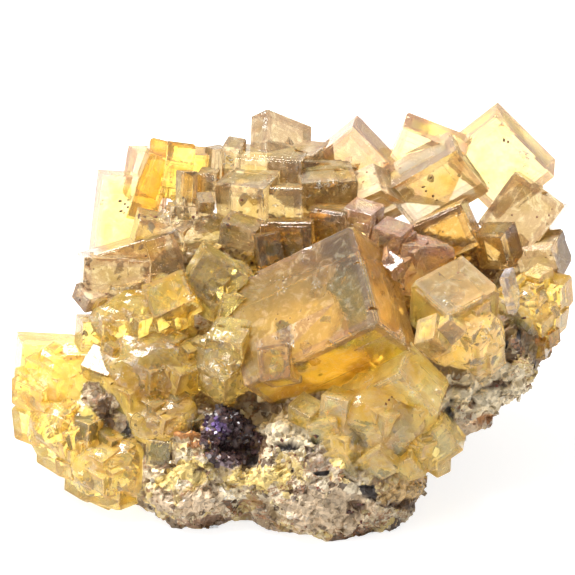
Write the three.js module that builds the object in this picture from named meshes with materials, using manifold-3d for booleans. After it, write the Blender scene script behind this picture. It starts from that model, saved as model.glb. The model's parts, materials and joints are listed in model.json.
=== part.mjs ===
// Fluorite specimen: a chunk of grey quartz and iron-stained rock, overgrown with yellow fluorite cubes.
// Millimetres. +X is to the right of the display side, +Y is to the back and +Z is up. The origin is on the
// surface that the specimen rests on, under the middle of its outer box.
import * as THREE from "three";
import { mergeVertices } from "three/addons/utils/BufferGeometryUtils.js";
import Module from "manifold-3d";

const wasm = await Module();
wasm.setup();
const { Manifold, Mesh: SolidMesh } = wasm;

// Driving dimensions
const DISPLAY_LEAN_DEG = 30; // the crystal-covered side leans back this far from upright
const DISPLAY_CENTRE_HEIGHT = 29; // height of the middle of the display side above the rest surface
const TO_BOX_MIDDLE = [-0.9, 2]; // puts the origin under the middle of the specimen's box, in X and Y
const GAP = 0.3; // clearance between neighbours that touch
const STEP_RISE = 0.35; // how far a growth block stands out from the faces of its cube
const STEP_SHARE = 0.68; // the part of each edge that a growth block covers
const STEP_MIN_EDGE = 6; // only cubes with all edges this long carry a growth block

// Every crystal is set out on the display side. Its corner is the one that stands out most, in millimetres
// across, up and out of the display side. Its bearings are the ways its three edges run from that corner,
// seen from the front, in degrees anticlockwise from across. Its edges are their true lengths.
const CLUMPS = {
  big_front_cube: [
    { corner: [14, -5.5, 22], bearings: [104, 206, -37], edges: [18.5, 24.5, 14] },
    { corner: [0.5, -14, 20], bearings: [97, 190, -30], edges: [5.5, 5, 7] },
    { corner: [0.5, -5.5, 20], bearings: [101, 200, -35], edges: [3, 3.5, 4] },
  ],
  ridge_block: [
    { corner: [27, 22, -3], bearings: [210, -50, 108], edges: [13.5, 11.5, 5] },
    { corner: [15, 15.5, -1], bearings: [204, -25, 105], edges: [12.5, 12.5, 5] },
  ],
  dark_framed_cube: [
    { corner: [27.5, 13, 3], bearings: [204, -65, 50], edges: [9.5, 7, 9] },
    { corner: [34, 8, 3], bearings: [178, -74, 45], edges: [5.5, 6, 5] },
  ],
  right_front_cube: [
    { corner: [25.5, -4.5, 13], bearings: [138, 28, 268], edges: [9.5, 10.5, 9] },
    { corner: [25.5, -5, 14.5], bearings: [222, -36, 92], edges: [4.5, 4, 4] },
    { corner: [23, -8, 15], bearings: [200, -40, 80], edges: [4, 4.5, 5] },
    { corner: [29, -9, 12.5], bearings: [150, 30, 270], edges: [5, 5, 5] },
    { corner: [31.5, -7.5, 10.5], bearings: [160, 50, 285], edges: [4.5, 4, 4] },
  ],
  small_middle_cubes: [
    { corner: [13.5, 11.5, 5.5], bearings: [165, 262, 40], edges: [5, 5, 6] },
    { corner: [18.5, 6.5, 6], bearings: [-3, 264, 130], edges: [8.5, 8, 7] },
    { corner: [16.5, 2.5, 9.5], bearings: [145, 42, 278], edges: [3, 3, 6] },
    { corner: [16, 5, 9], bearings: [223, -42, 95], edges: [4, 3.5, 5] },
    { corner: [18, 8, 7], bearings: [160, 262, 40], edges: [5, 5, 5] },
  ],
  lower_right_cubes: [
    { corner: [17.5, -13.5, 19], bearings: [209, -46, 67], edges: [10.5, 9.5, 8] },
    { corner: [24.5, -21.5, 15], bearings: [215, -52, 75], edges: [6.5, 5.5, 7] },
    { corner: [8.5, -25, 17], bearings: [207, -60, 75], edges: [5, 5.5, 7] },
    { corner: [14.5, -25.5, 18], bearings: [208, -50, 70], edges: [6, 5, 7] },
    { corner: [19.5, -27, 15.5], bearings: [200, -50, 80], edges: [5, 4.5, 7] },
    { corner: [7.5, -21, 18], bearings: [190, -70, 70], edges: [5, 5, 6] },
    { corner: [9.5, -18, 18.5], bearings: [165, 262, 40], edges: [4.5, 5, 5] },
    { corner: [3.5, -20.5, 17], bearings: [150, 40, 270], edges: [4.5, 4, 4] },
  ],
  left_block: [
    { corner: [-32, 4.5, 7], bearings: [-2, 266, 130], edges: [10.5, 6.5, 7] },
    { corner: [-32, 4.5, 5], bearings: [17, 285, 150], edges: [15, 6.5, 8] },
    { corner: [-31.5, -2, 7.5], bearings: [16, 250, 130], edges: [6, 3, 4] },
  ],
  left_yellow_cubes: [
    { corner: [-15, -2, 11], bearings: [111, 205, -50], edges: [6, 7, 5] },
    { corner: [-23.5, -5.5, 9], bearings: [176, 267, 50], edges: [6, 5, 6] },
    { corner: [-32.5, -5.5, 7], bearings: [0, 266, 135], edges: [5, 5, 5] },
    { corner: [-20, -1.5, 8], bearings: [150, 30, 270], edges: [5, 5, 5] },
  ],
  left_olive_cube: [
    { corner: [-13, 5.5, 9], bearings: [-29, 238, 100], edges: [8, 7, 6] },
    { corner: [-10, -1, 9], bearings: [-10, 256, 120], edges: [4, 6, 5] },
  ],
  amber_prism: [
    { corner: [-22, 21.5, -1], bearings: [-15, 248, 88], edges: [4.5, 13, 4.5] },
    { corner: [-19.5, 19.5, 0.5], bearings: [-7, 259, 85], edges: [4.5, 9, 5] },
    { corner: [-18, 21.5, -3], bearings: [-4, 264, 105], edges: [5.5, 8, 5] },
  ],
  pale_left_cube: [
    { corner: [-29.5, 18, -3], bearings: [-3, 263, 135], edges: [11, 13.5, 4] },
    { corner: [-24, 21.5, -6], bearings: [0, 260, 140], edges: [5, 8, 4] },
  ],
  small_left_columns: [
    { corner: [-16.5, 18.5, 3], bearings: [1, 268, 166], edges: [2.5, 9, 3] },
    { corner: [-14, 13.5, 4], bearings: [2, 262, 110], edges: [2.5, 6, 3] },
    { corner: [-18.5, 13, 3.5], bearings: [-3, 265, 130], edges: [4.5, 6, 4] },
    { corner: [-23.5, 11, 4], bearings: [-12, 254, 104], edges: [5.5, 6, 5] },
  ],
  centre_mass: [
    { corner: [-4, 15.5, 4], bearings: [172, 274, 45], edges: [8.5, 9, 9] },
    { corner: [2, 15.5, 3], bearings: [178, 270, 45], edges: [8, 8, 8] },
    { corner: [2, 20, -1], bearings: [176, 268, 60], edges: [10.5, 6, 9] },
    { corner: [-8, 21.5, -2], bearings: [170, 268, 60], edges: [3, 5, 5] },
    { corner: [-11.5, 22, -2], bearings: [160, 11, 266], edges: [2.5, 3, 7] },
    { corner: [-11.5, 18, 0], bearings: [175, 268, 60], edges: [3, 6, 5] },
    { corner: [-5, 9, 6], bearings: [165, 262, 50], edges: [6, 4, 5] },
  ],
  druse_block: [
    { corner: [2.5, 16.5, 1], bearings: [4, 268, 112], edges: [9, 6, 7] },
    { corner: [2.5, 20, -3], bearings: [-4, 262, 150], edges: [9.5, 6, 8] },
  ],
  dark_middle_cube: [
    { corner: [9, 11.5, 5], bearings: [172, 266, 45], edges: [6, 7, 7] },
    { corner: [3.5, 10, 7], bearings: [180, 272, 50], edges: [8, 8, 8] },
    { corner: [-5, 8, 8], bearings: [12, 280, 140], edges: [4, 6, 5] },
  ],
  top_tan_cube: [
    { corner: [-3.5, 21.5, -5], bearings: [88, -21, 204], edges: [8, 9.5, 4] },
    { corner: [4, 21, -5], bearings: [174, 278, 40], edges: [9, 9, 6] },
  ],
  back_pointed_cube: [{ corner: [10.5, 25.5, -5], bearings: [219, -46, 72], edges: [13, 12, 6] }],
  back_banded_cube: [{ corner: [18.5, 25.5, -5], bearings: [-21, 246, 73], edges: [11, 13, 4.5] }],
  top_right_cube: [{ corner: [33.5, 27, -5], bearings: [218, -44, 82], edges: [12, 14, 6] }],
  right_tan_cube: [
    { corner: [44, 13, -3], bearings: [143, 234, 5], edges: [9.5, 10.5, 8] },
    { corner: [42, 6, -1], bearings: [185, 292, 60], edges: [8.5, 6, 6] },
  ],
  right_edge_cubes: [
    { corner: [43.5, -0.5, 2], bearings: [170, 275, 50], edges: [6, 5, 5] },
    { corner: [43, -5, 2], bearings: [160, 262, 40], edges: [6, 4, 5] },
    { corner: [39.5, -2, 5], bearings: [190, 285, 65], edges: [5, 6, 5] },
    { corner: [41, -9, 3], bearings: [175, 275, 60], edges: [4.5, 3, 4] },
  ],
  quartz_sliver: [{ corner: [35, 1.5, 9], bearings: [285, 190, 60], edges: [6, 1.5, 5] }],
  left_tip_cubes: [
    { corner: [-42, -9.5, 3], bearings: [-3, 264, 121], edges: [9.5, 7, 9] },
    { corner: [-39, -16.5, 8], bearings: [158, 40, 268], edges: [6, 6, 5] },
    { corner: [-31.5, -11, 6], bearings: [178, 270, 50], edges: [6, 8, 7] },
    { corner: [-31.5, -22, 9.5], bearings: [160, 25, 265], edges: [6.5, 6, 6] },
    { corner: [-26.5, -27, 10], bearings: [165, 20, 268], edges: [8.5, 5.5, 9] },
    { corner: [-22.5, -29, 8.5], bearings: [170, 275, 55], edges: [4.5, 6, 6] },
    { corner: [-31.5, -31, 6], bearings: [150, 40, 265], edges: [5, 4, 5] },
    { corner: [-36.5, -26, 5.5], bearings: [150, 30, 268], edges: [5, 4.5, 5] },
    { corner: [-41, -20.5, 4], bearings: [160, 40, 275], edges: [4, 4, 6] },
    { corner: [-28.5, -33, 6.5], bearings: [155, 35, 270], edges: [5, 5, 3.5] },
  ],
  middle_left_cubes: [
    { corner: [-22, -10, 11], bearings: [150, 30, 270], edges: [6, 5, 6] },
    { corner: [-17, -14, 13], bearings: [140, 20, 255], edges: [6, 6, 5.5] },
    { corner: [-25, -17, 12], bearings: [155, 35, 272], edges: [6, 5, 5.5] },
    { corner: [-19.5, -20.5, 12.5], bearings: [145, 40, 268], edges: [5.5, 5, 5] },
    { corner: [-28.5, -14, 10], bearings: [160, 60, 280], edges: [5, 4.5, 6] },
    { corner: [-7.5, -9, 14], bearings: [170, 275, 60], edges: [6, 7.5, 6] },
    { corner: [-10, -15, 14], bearings: [150, 35, 272], edges: [6, 5, 5] },
    { corner: [-18.5, -24.5, 12.5], bearings: [175, 268, 50], edges: [4, 4, 5] },
  ],
  low_front_cubes: [
    { corner: [-14, -27, 13.5], bearings: [150, 30, 270], edges: [4.5, 4, 4] },
    { corner: [-11, -29, 13], bearings: [160, 45, 280], edges: [3.5, 3, 3.5] },
    { corner: [-18, -29, 12], bearings: [150, 40, 265], edges: [4, 4, 4] },
  ],
};

// Massive fluorite that the cubes of a clump grow from: middle and half-widths across, up and out of the
// display side, with the number of small cubes that crowd its surface.
const CRUSTS = {
  right_front_cube: [{ middle: [28.5, -8, 6], half: [6.5, 5.5, 6], cubes: 4 }],
  small_middle_cubes: [{ middle: [19, 4, 1], half: [8, 5, 5], cubes: 3 }],
  lower_right_cubes: [
    { middle: [15, -20, 11], half: [9, 7.5, 7], cubes: 4 },
    { middle: [8.5, -24, 11], half: [6, 4.5, 6], cubes: 3 },
    { middle: [21, -25, 9], half: [5.5, 4, 6], cubes: 2 },
  ],
  left_yellow_cubes: [{ middle: [-24, -5, 4], half: [9, 5.5, 5], cubes: 4 }],
  left_olive_cube: [{ middle: [-10, 0, 4], half: [5.5, 5, 4], cubes: 2 }],
  small_left_columns: [{ middle: [-16, 9, 0], half: [8, 4, 3], cubes: 2 }],
  right_edge_cubes: [{ middle: [39, -4, -1], half: [5, 7, 5], cubes: 4 }],
  left_tip_cubes: [
    { middle: [-36, -15, 2], half: [7, 6.5, 5], cubes: 2 },
    { middle: [-34, -23, 4], half: [8, 6, 5], cubes: 4 },
    { middle: [-27.5, -29, 5.5], half: [7.5, 5.5, 5.5], cubes: 4 },
  ],
  middle_left_cubes: [
    { middle: [-22, -13, 7], half: [8.5, 6.5, 5], cubes: 3 },
    { middle: [-9.5, -12, 8], half: [5.5, 5.5, 5], cubes: 2 },
    { middle: [-20, -21, 8], half: [6.5, 4.5, 5], cubes: 2 },
  ],
  low_front_cubes: [{ middle: [-14, -28, 9], half: [5, 3, 3.5], cubes: 2 }],
};
const CRUST_DETAIL = 0; // how finely a crust's surface is divided
const SMALL_CUBE = [2.8, 4.6]; // shortest and longest edge of the small cubes on a crust
const SMALL_CUBE_BEARINGS = [150, 30, 270];
const SMALL_CUBE_TURN = 14; // the small cubes are turned by up to this many degrees
const SMALL_CUBE_SKEW = 4; // each of their bearings differs by up to this many degrees more
const SMALL_CUBE_RISE = 1.1; // how far a small cube's corner stands out of the crust
const CROWDED_SHARE = 0.92; // the small cubes keep within this share of a crust's half-widths
const SEED_START = 7; // the chance numbers of a clump's crusts start here,
const SEED_PER_LETTER = 97; // plus this for each letter of the clump's name,
const SEED_PER_CRUST = 31; // plus this for each crust before it
const CHANCE_FACTOR = 16807; // factor and limit of the chance numbers
const CHANCE_LIMIT = 2147483647;

// The rock is a pile of rough lumps: middle and half-widths of each, in the specimen's own X, Y and Z.
const ROCK_LUMPS = [
  { middle: [0, -1, 13], half: [32, 16, 14.5] },
  { middle: [6, -19, 5], half: [16, 12.5, 13] },
  { middle: [-13.5, -17.5, 5], half: [12, 11, 12] },
  { middle: [22, -9, 15], half: [13, 10, 9.5] },
  { middle: [31, -5, 17.5], half: [9.5, 9, 7.5] },
  { middle: [34, -1, 21], half: [9, 9, 7] },
  { middle: [-25, -9, 12], half: [12, 10, 10] },
  { middle: [-31, -4, 14], half: [8, 8, 6] },
  { middle: [0, 12, 12], half: [29, 13, 15] },
  { middle: [22, 9, 19], half: [16, 13, 14] },
  { middle: [2, 10, 24], half: [27, 12, 11] },
  { middle: [15.5, -17, 4.5], half: [7.5, 6.5, 6] },
];
const ROCK_DETAIL = 1; // how finely each lump's surface is divided
const ROCK_ROUGHNESS = 1.1; // height of the rock's bumps
const PURPLE_NODULE = { middle: [-9.5, -20.5, 15], half: [4, 4, 4.5] };
const NODULE_DETAIL = 1;
const CLUMP_CLEARANCE = 0.6; // the crystals end this far above the rest surface
const TRIM_BLOCK = 200; // size of the block that cuts the stone off flat near the rest surface

// Colour, roughness and metalness of each kind of stone
const STONES = {
  yellow: { color: 0xdcb653, roughness: 0.15 },
  pale: { color: 0xf3e2a0, roughness: 0.12 },
  tan: { color: 0xb9965f, roughness: 0.2 },
  smoky: { color: 0x7c5a2c, roughness: 0.2 },
  quartz: { color: 0xcfc6c4, roughness: 0.2 },
  rock: { color: 0x9b8f7c, roughness: 0.9 },
  violet: { color: 0x4a3d5c, roughness: 0.5 },
};
const STONE_OF_CLUMP = {
  big_front_cube: "tan",
  dark_framed_cube: "smoky",
  dark_middle_cube: "smoky",
  left_block: "tan",
  centre_mass: "tan",
  druse_block: "smoky",
  top_tan_cube: "tan",
  right_tan_cube: "tan",
  pale_left_cube: "pale",
  back_pointed_cube: "tan",
  top_right_cube: "pale",
  quartz_sliver: "quartz",
};

const radians = THREE.MathUtils.degToRad;
const LEAN = radians(DISPLAY_LEAN_DEG);
const ACROSS = new THREE.Vector3(1, 0, 0);
const UP = new THREE.Vector3(0, Math.sin(LEAN), Math.cos(LEAN));
const OUT = new THREE.Vector3(0, -Math.cos(LEAN), Math.sin(LEAN));

// A point of the display side, in the specimen's own directions
function displayPoint([across, up, out]) {
  return new THREE.Vector3(0, 0, DISPLAY_CENTRE_HEIGHT)
    .addScaledVector(ACROSS, across)
    .addScaledVector(UP, up)
    .addScaledVector(OUT, out);
}

// The three square edges of a box whose edges are seen at these bearings: each edge leans away from the
// front by the one amount that makes all three square to each other.
function edgeDirections(bearings) {
  const seen = bearings.map((degrees) => [Math.cos(radians(degrees)), Math.sin(radians(degrees))]);
  const cosine = (i, j) => seen[i][0] * seen[j][0] + seen[i][1] * seen[j][1];
  return [0, 1, 2].map((i) => {
    const j = (i + 1) % 3;
    const k = (i + 2) % 3;
    const flat = 1 / Math.sqrt(1 - (cosine(i, j) * cosine(i, k)) / cosine(j, k));
    return new THREE.Vector3()
      .addScaledVector(ACROSS, seen[i][0] * flat)
      .addScaledVector(UP, seen[i][1] * flat)
      .addScaledVector(OUT, -Math.sqrt(1 - flat * flat));
  });
}

// A closed mesh as a solid that can be joined and cut
function solidFrom(geometry) {
  const bare = geometry.clone();
  bare.deleteAttribute("normal");
  bare.deleteAttribute("uv");
  const merged = mergeVertices(bare);
  const vertProperties = Float32Array.from(merged.attributes.position.array);
  const triVerts = Uint32Array.from(merged.index.array);
  return new Manifold(new SolidMesh({ numProp: 3, vertProperties, triVerts }));
}

// A box that starts at a corner and runs along three directions, made larger by grow on every side
function boxAlong(corner, directions, edges, grow) {
  const [a, b, c] = directions;
  const turned = new THREE.Vector3().crossVectors(a, b).dot(c) > 0 ? [0, 1, 2] : [1, 0, 2];
  const [first, second, third] = turned.map((i) => directions[i]);
  const [length, width, depth] = turned.map((i) => edges[i]);
  const box = new THREE.BoxGeometry(length + 2 * grow, width + 2 * grow, depth + 2 * grow);
  box.translate(length / 2, width / 2, depth / 2);
  box.applyMatrix4(new THREE.Matrix4().makeBasis(first, second, third).setPosition(corner));
  return solidFrom(box);
}

// A cube of fluorite, with a growth block standing a little out of its faces where it is large enough.
// Made larger by grow, it is the plain room that the cube needs among its neighbours.
function crystalSolid({ corner, bearings, edges }, grow = 0) {
  const directions = edgeDirections(bearings);
  const start = displayPoint(corner);
  const stepped = Math.min(...edges) >= STEP_MIN_EDGE;
  if (grow > 0) return boxAlong(start, directions, edges, stepped ? grow + STEP_RISE : grow);
  const cube = boxAlong(start, directions, edges, 0);
  if (!stepped) return cube;
  const raised = start.clone();
  directions.forEach((direction) => raised.addScaledVector(direction, -STEP_RISE));
  return cube.add(boxAlong(raised, directions, edges.map((edge) => edge * STEP_SHARE), 0));
}

// Repeatable chance numbers between 0 and 1
function chanceNumbers(seed) {
  let state = seed;
  return () => {
    state = (state * CHANCE_FACTOR) % CHANCE_LIMIT;
    return state / CHANCE_LIMIT;
  };
}

// Uneven heights over the rock, from a few crossing waves
function roughness(x, y, z) {
  const wide = Math.sin(0.42 * x + 1.3) * Math.sin(0.47 * y + 0.4) * Math.sin(0.45 * z + 2.1);
  const close = Math.sin(1.1 * x + 0.7 * y) * Math.sin(1.2 * z - 0.6 * y + 1);
  return ROCK_ROUGHNESS * (wide + 0.5 * close);
}

// A rough lump: a ball stretched to its half-widths, with its surface pushed in and out
function roughLump({ middle, half }, detail) {
  const ball = new THREE.IcosahedronGeometry(1, detail);
  const place = ball.attributes.position;
  const point = new THREE.Vector3();
  for (let i = 0; i < place.count; i += 1) {
    point.fromBufferAttribute(place, i);
    const outward = point.clone();
    point.set(point.x * half[0], point.y * half[1], point.z * half[2]);
    point.add(new THREE.Vector3(...middle));
    point.addScaledVector(outward, roughness(point.x, point.y, point.z));
    place.setXYZ(i, point.x, point.y, point.z);
  }
  return solidFrom(ball);
}

// A crust of massive fluorite on the display side
function crustSolid({ middle, half }, grow) {
  const ball = new THREE.IcosahedronGeometry(1, CRUST_DETAIL);
  const place = ball.attributes.position;
  const point = new THREE.Vector3();
  for (let i = 0; i < place.count; i += 1) {
    point.fromBufferAttribute(place, i);
    const offsets = [point.x, point.y, point.z].map((share, axis) => share * (half[axis] + grow));
    const outward = displayPoint(offsets).sub(displayPoint([0, 0, 0])).normalize();
    const surface = displayPoint(middle.map((value, axis) => value + offsets[axis]));
    surface.addScaledVector(outward, roughness(surface.x, surface.y, surface.z));
    place.setXYZ(i, surface.x, surface.y, surface.z);
  }
  return solidFrom(ball);
}

// The small cubes that crowd a crust, each as a corner, bearings and edges
function smallCubes({ middle, half, cubes }, seed) {
  const chance = chanceNumbers(seed);
  return Array.from({ length: cubes }, () => {
    const reach = CROWDED_SHARE * Math.sqrt(chance());
    const heading = 2 * Math.PI * chance();
    const across = middle[0] + half[0] * reach * Math.cos(heading);
    const up = middle[1] + half[1] * reach * Math.sin(heading);
    const out = middle[2] + half[2] * Math.sqrt(1 - reach * reach) + SMALL_CUBE_RISE;
    const turn = SMALL_CUBE_TURN * (2 * chance() - 1);
    const edge = () => SMALL_CUBE[0] + (SMALL_CUBE[1] - SMALL_CUBE[0]) * chance();
    return {
      corner: [across, up, out],
      bearings: SMALL_CUBE_BEARINGS.map((bearing) => bearing + turn + SMALL_CUBE_SKEW * (2 * chance() - 1)),
      edges: [edge(), edge(), edge()],
    };
  });
}

// Everything below a height, as a block to cut away
function groundBelow(height) {
  const block = new THREE.BoxGeometry(TRIM_BLOCK, TRIM_BLOCK, TRIM_BLOCK);
  block.translate(0, 0, height - TRIM_BLOCK / 2);
  return solidFrom(block);
}

// The crystals of one clump, grown together on their crust and clear of the rest surface
function clumpSolid(name, grow = 0) {
  const crusts = CRUSTS[name] ?? [];
  const seed = SEED_START + SEED_PER_LETTER * name.length;
  const small = crusts.flatMap((crust, i) => smallCubes(crust, seed + SEED_PER_CRUST * i));
  const crystals = [...CLUMPS[name], ...small].map((crystal) => crystalSolid(crystal, grow));
  const grounds = crusts.map((crust) => crustSolid(crust, grow));
  const whole = [...crystals, ...grounds].reduce((all, one) => all.add(one));
  return whole.subtract(groundBelow(CLUMP_CLEARANCE - grow));
}

// The largest piece of a cut solid; chips that a cut leaves loose are dropped
function largestPiece(solid) {
  return solid.decompose().reduce((best, piece) => (piece.volume() > best.volume() ? piece : best));
}

// The rock: its lumps joined, cut off flat where it rests
function rockSolid() {
  const pile = ROCK_LUMPS.map((lump) => roughLump(lump, ROCK_DETAIL)).reduce((all, one) => all.add(one));
  return pile.subtract(groundBelow(0));
}

// A named mesh of a finished solid
function stoneMesh(name, solid, stone) {
  const { vertProperties, triVerts } = solid.getMesh();
  const geometry = new THREE.BufferGeometry();
  geometry.setAttribute("position", new THREE.BufferAttribute(vertProperties, 3));
  geometry.setIndex(new THREE.BufferAttribute(triVerts, 1));
  geometry.translate(TO_BOX_MIDDLE[0], TO_BOX_MIDDLE[1], 0);
  geometry.computeVertexNormals();
  const material = new THREE.MeshStandardMaterial({ ...STONES[stone], metalness: 0 });
  const mesh = new THREE.Mesh(geometry, material);
  mesh.name = name;
  return mesh;
}

const specimen = new THREE.Group();
let taken = null; // everything placed so far, made larger by the gap
for (const name of Object.keys(CLUMPS)) {
  const whole = clumpSolid(name);
  const fitted = largestPiece(taken ? whole.subtract(taken) : whole);
  specimen.add(stoneMesh(name, fitted, STONE_OF_CLUMP[name] ?? "yellow"));
  const wider = clumpSolid(name, GAP);
  taken = taken ? taken.add(wider) : wider;
}
const nodule = largestPiece(roughLump(PURPLE_NODULE, NODULE_DETAIL).subtract(taken));
specimen.add(stoneMesh("purple_nodule", nodule, "violet"));
const noduleHalf = PURPLE_NODULE.half.map((size) => size + GAP);
taken = taken.add(roughLump({ ...PURPLE_NODULE, half: noduleHalf }, NODULE_DETAIL));
specimen.add(stoneMesh("rock_matrix", largestPiece(rockSolid().subtract(taken)), "rock"));

export default specimen;
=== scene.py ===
# %% [markdown]
# # A fluorite specimen
# The object is a hand-sized chunk of grey quartz and rusty rock, overgrown with yellow fluorite cubes.
# Fluorite grows as cubes with flat, glossy faces, thin growth steps and a tan or lilac outer zone, so
# every cube is built from its corner and edges instead of being sculpted.
#
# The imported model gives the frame: every piece below lies where its solid lies, in metres.

# %% Load the frame
import json
import math

import bmesh
import bpy
import numpy as np
from mathutils import Matrix, Vector, noise
from mathutils.bvhtree import BVHTree

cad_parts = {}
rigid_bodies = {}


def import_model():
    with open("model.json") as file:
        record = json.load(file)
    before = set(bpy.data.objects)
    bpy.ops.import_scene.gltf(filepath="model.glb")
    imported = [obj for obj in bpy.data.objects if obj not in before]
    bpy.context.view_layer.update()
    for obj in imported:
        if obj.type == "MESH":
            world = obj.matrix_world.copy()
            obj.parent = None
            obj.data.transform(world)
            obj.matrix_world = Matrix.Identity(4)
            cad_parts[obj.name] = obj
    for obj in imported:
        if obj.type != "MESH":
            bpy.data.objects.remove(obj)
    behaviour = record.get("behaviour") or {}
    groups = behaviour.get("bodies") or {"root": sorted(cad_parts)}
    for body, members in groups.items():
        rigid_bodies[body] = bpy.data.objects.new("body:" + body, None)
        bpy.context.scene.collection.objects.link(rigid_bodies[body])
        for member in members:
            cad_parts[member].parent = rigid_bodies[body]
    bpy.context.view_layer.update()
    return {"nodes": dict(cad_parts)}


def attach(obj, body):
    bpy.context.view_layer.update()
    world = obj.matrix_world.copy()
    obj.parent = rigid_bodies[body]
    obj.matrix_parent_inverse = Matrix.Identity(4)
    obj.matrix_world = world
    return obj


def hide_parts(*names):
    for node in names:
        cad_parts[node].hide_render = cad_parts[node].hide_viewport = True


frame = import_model()
MM = 0.001
print("solids in the frame:", len(frame["nodes"]))

# %% [markdown]
# ## The display side
# The crystals cover a side that leans back 30 degrees, and the camera looks straight at it. A place on
# the specimen is easiest to name from there: so far across, so far up and so far out. One function turns
# that into the frame's X, Y and Z, and a second turns a pixel of the photograph into across and up.

# %% Places on the display side
LEAN = math.radians(30)
ACROSS = Vector((1, 0, 0))
UP = Vector((0, math.sin(LEAN), math.cos(LEAN)))
OUT = Vector((0, -math.cos(LEAN), math.sin(LEAN)))
DISPLAY_MIDDLE = Vector((-0.9, 2, 29))
PIXELS_PER_MM = 6.25
PICTURE_MIDDLE = 287.5


def display_point(across, up, out):
    """A point in millimetres, in the frame's own directions."""
    return DISPLAY_MIDDLE + ACROSS * across + UP * up + OUT * out


def from_pixel(x, y):
    """Across and up, in millimetres, of a pixel of the photograph."""
    return (x - PICTURE_MIDDLE) / PIXELS_PER_MM, (PICTURE_MIDDLE - y) / PIXELS_PER_MM


print("middle of the display side:", tuple(DISPLAY_MIDDLE))

# %% [markdown]
# ## Camera
# The photograph is taken from a little above, from far enough away that the cubes hardly taper. A long
# lens at 1.2 m does the same. The lens length makes 92 mm fill the picture's width.

# %% Camera
CAMERA_DISTANCE = 1200
PICTURE_WIDTH = 92
SENSOR = 36
camera_data = bpy.data.cameras.new("camera")
camera_data.sensor_width = SENSOR
camera_data.lens = SENSOR * CAMERA_DISTANCE / PICTURE_WIDTH
camera_data.clip_start = 0.01
camera = bpy.data.objects.new("camera", camera_data)
camera_place = DISPLAY_MIDDLE + OUT * CAMERA_DISTANCE
camera.location = camera_place * MM
camera.rotation_euler = (-OUT).to_track_quat("-Z", "Y").to_euler()
bpy.context.scene.collection.objects.link(camera)
bpy.context.scene.camera = camera
print("lens in mm:", round(camera_data.lens))

# %% [markdown]
# ## Floor and light
# Clear crystal shows what is around it, so the light matters as much as the material. The specimen
# stands in a white light tent: a pale floor that glows a little, a bright back and top, and a darker
# front, which is what the dark sides of the crystals mirror. Two soft lights give the faces their shine.

# %% Floor and light
scene = bpy.context.scene
scene.view_settings.view_transform = "Standard"
LIGHT_BOUNCES = 20
scene.cycles.max_bounces = LIGHT_BOUNCES
scene.cycles.transmission_bounces = LIGHT_BOUNCES
FLOOR_HALF = 3
FLOOR_GLOW = 0.78
FLOOR_COLOUR = (0.36, 0.355, 0.35)
floor_mesh = bpy.data.meshes.new("floor")
floor_corners = [(-FLOOR_HALF, -FLOOR_HALF, 0), (FLOOR_HALF, -FLOOR_HALF, 0), (FLOOR_HALF, FLOOR_HALF, 0)]
floor_corners.append((-FLOOR_HALF, FLOOR_HALF, 0))
floor_mesh.from_pydata(floor_corners, [], [(0, 1, 2, 3)])
floor = bpy.data.objects.new("floor", floor_mesh)
scene.collection.objects.link(floor)
floor_paint = bpy.data.materials.new("pale_floor")
floor_paint.use_nodes = True
floor_shader = floor_paint.node_tree.nodes["Principled BSDF"]
floor_shader.inputs["Base Color"].default_value = (*FLOOR_COLOUR, 1)
floor_shader.inputs["Roughness"].default_value = 0.6
floor_shader.inputs["Emission Color"].default_value = (1, 1, 1, 1)
floor_shader.inputs["Emission Strength"].default_value = FLOOR_GLOW
floor_mesh.materials.append(floor_paint)

TENT_FRONT = 0.38
TENT_BACK = 1.15
TENT_SEEN = 1.1
TENT_DARK_TO = -0.9
TENT_BRIGHT_FROM = 0.35
world = bpy.data.worlds.new("light_tent")
scene.world = world
world.use_nodes = True
tent = world.node_tree
tent.nodes.clear()
tent_out = tent.nodes.new("ShaderNodeOutputWorld")
tent_light = tent.nodes.new("ShaderNodeBackground")
tent_way = tent.nodes.new("ShaderNodeTexCoord")
tent_split = tent.nodes.new("ShaderNodeSeparateXYZ")
tent_depth = tent.nodes.new("ShaderNodeMapRange")
tent_depth.interpolation_type = "SMOOTHSTEP"
tent_depth.inputs["From Min"].default_value = TENT_DARK_TO
tent_depth.inputs["From Max"].default_value = TENT_BRIGHT_FROM
tent_depth.inputs["To Min"].default_value = TENT_FRONT
tent_depth.inputs["To Max"].default_value = TENT_BACK
tent_path = tent.nodes.new("ShaderNodeLightPath")
tent_pick = tent.nodes.new("ShaderNodeMix")
tent_pick.inputs["B"].default_value = TENT_SEEN
tent.links.new(tent_way.outputs["Generated"], tent_split.inputs["Vector"])
tent.links.new(tent_split.outputs["Y"], tent_depth.inputs["Value"])
tent.links.new(tent_depth.outputs["Result"], tent_pick.inputs["A"])
tent.links.new(tent_path.outputs["Is Camera Ray"], tent_pick.inputs["Factor"])
tent.links.new(tent_pick.outputs["Result"], tent_light.inputs["Strength"])
tent.links.new(tent_light.outputs["Background"], tent_out.inputs["Surface"])


def soft_light(name, place, size, power):
    """A square soft light at a place in metres, aimed at the specimen."""
    data = bpy.data.lights.new(name, "AREA")
    data.size = size
    data.energy = power
    light = bpy.data.objects.new(name, data)
    light.location = place
    aim = DISPLAY_MIDDLE * MM - light.location
    light.rotation_euler = aim.to_track_quat("-Z", "Y").to_euler()
    scene.collection.objects.link(light)
    return light


soft_light("top_light", Vector((-0.3, 0.2, 0.85)), 0.5, 25)
soft_light("left_light", Vector((-0.8, -0.5, 0.35)), 0.35, 5)

# %% [markdown]
# ## The cubes and their places
# Each cube is named by the corner that stands out most (across, up, out), the ways its three edges run
# as seen from the front (degrees anticlockwise from across) and their true lengths, all in millimetres.
# Three bearings are enough: only one set of square edges looks like that, so no angles have to be
# guessed. The cubes of one clump are grown together into one piece.

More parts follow.
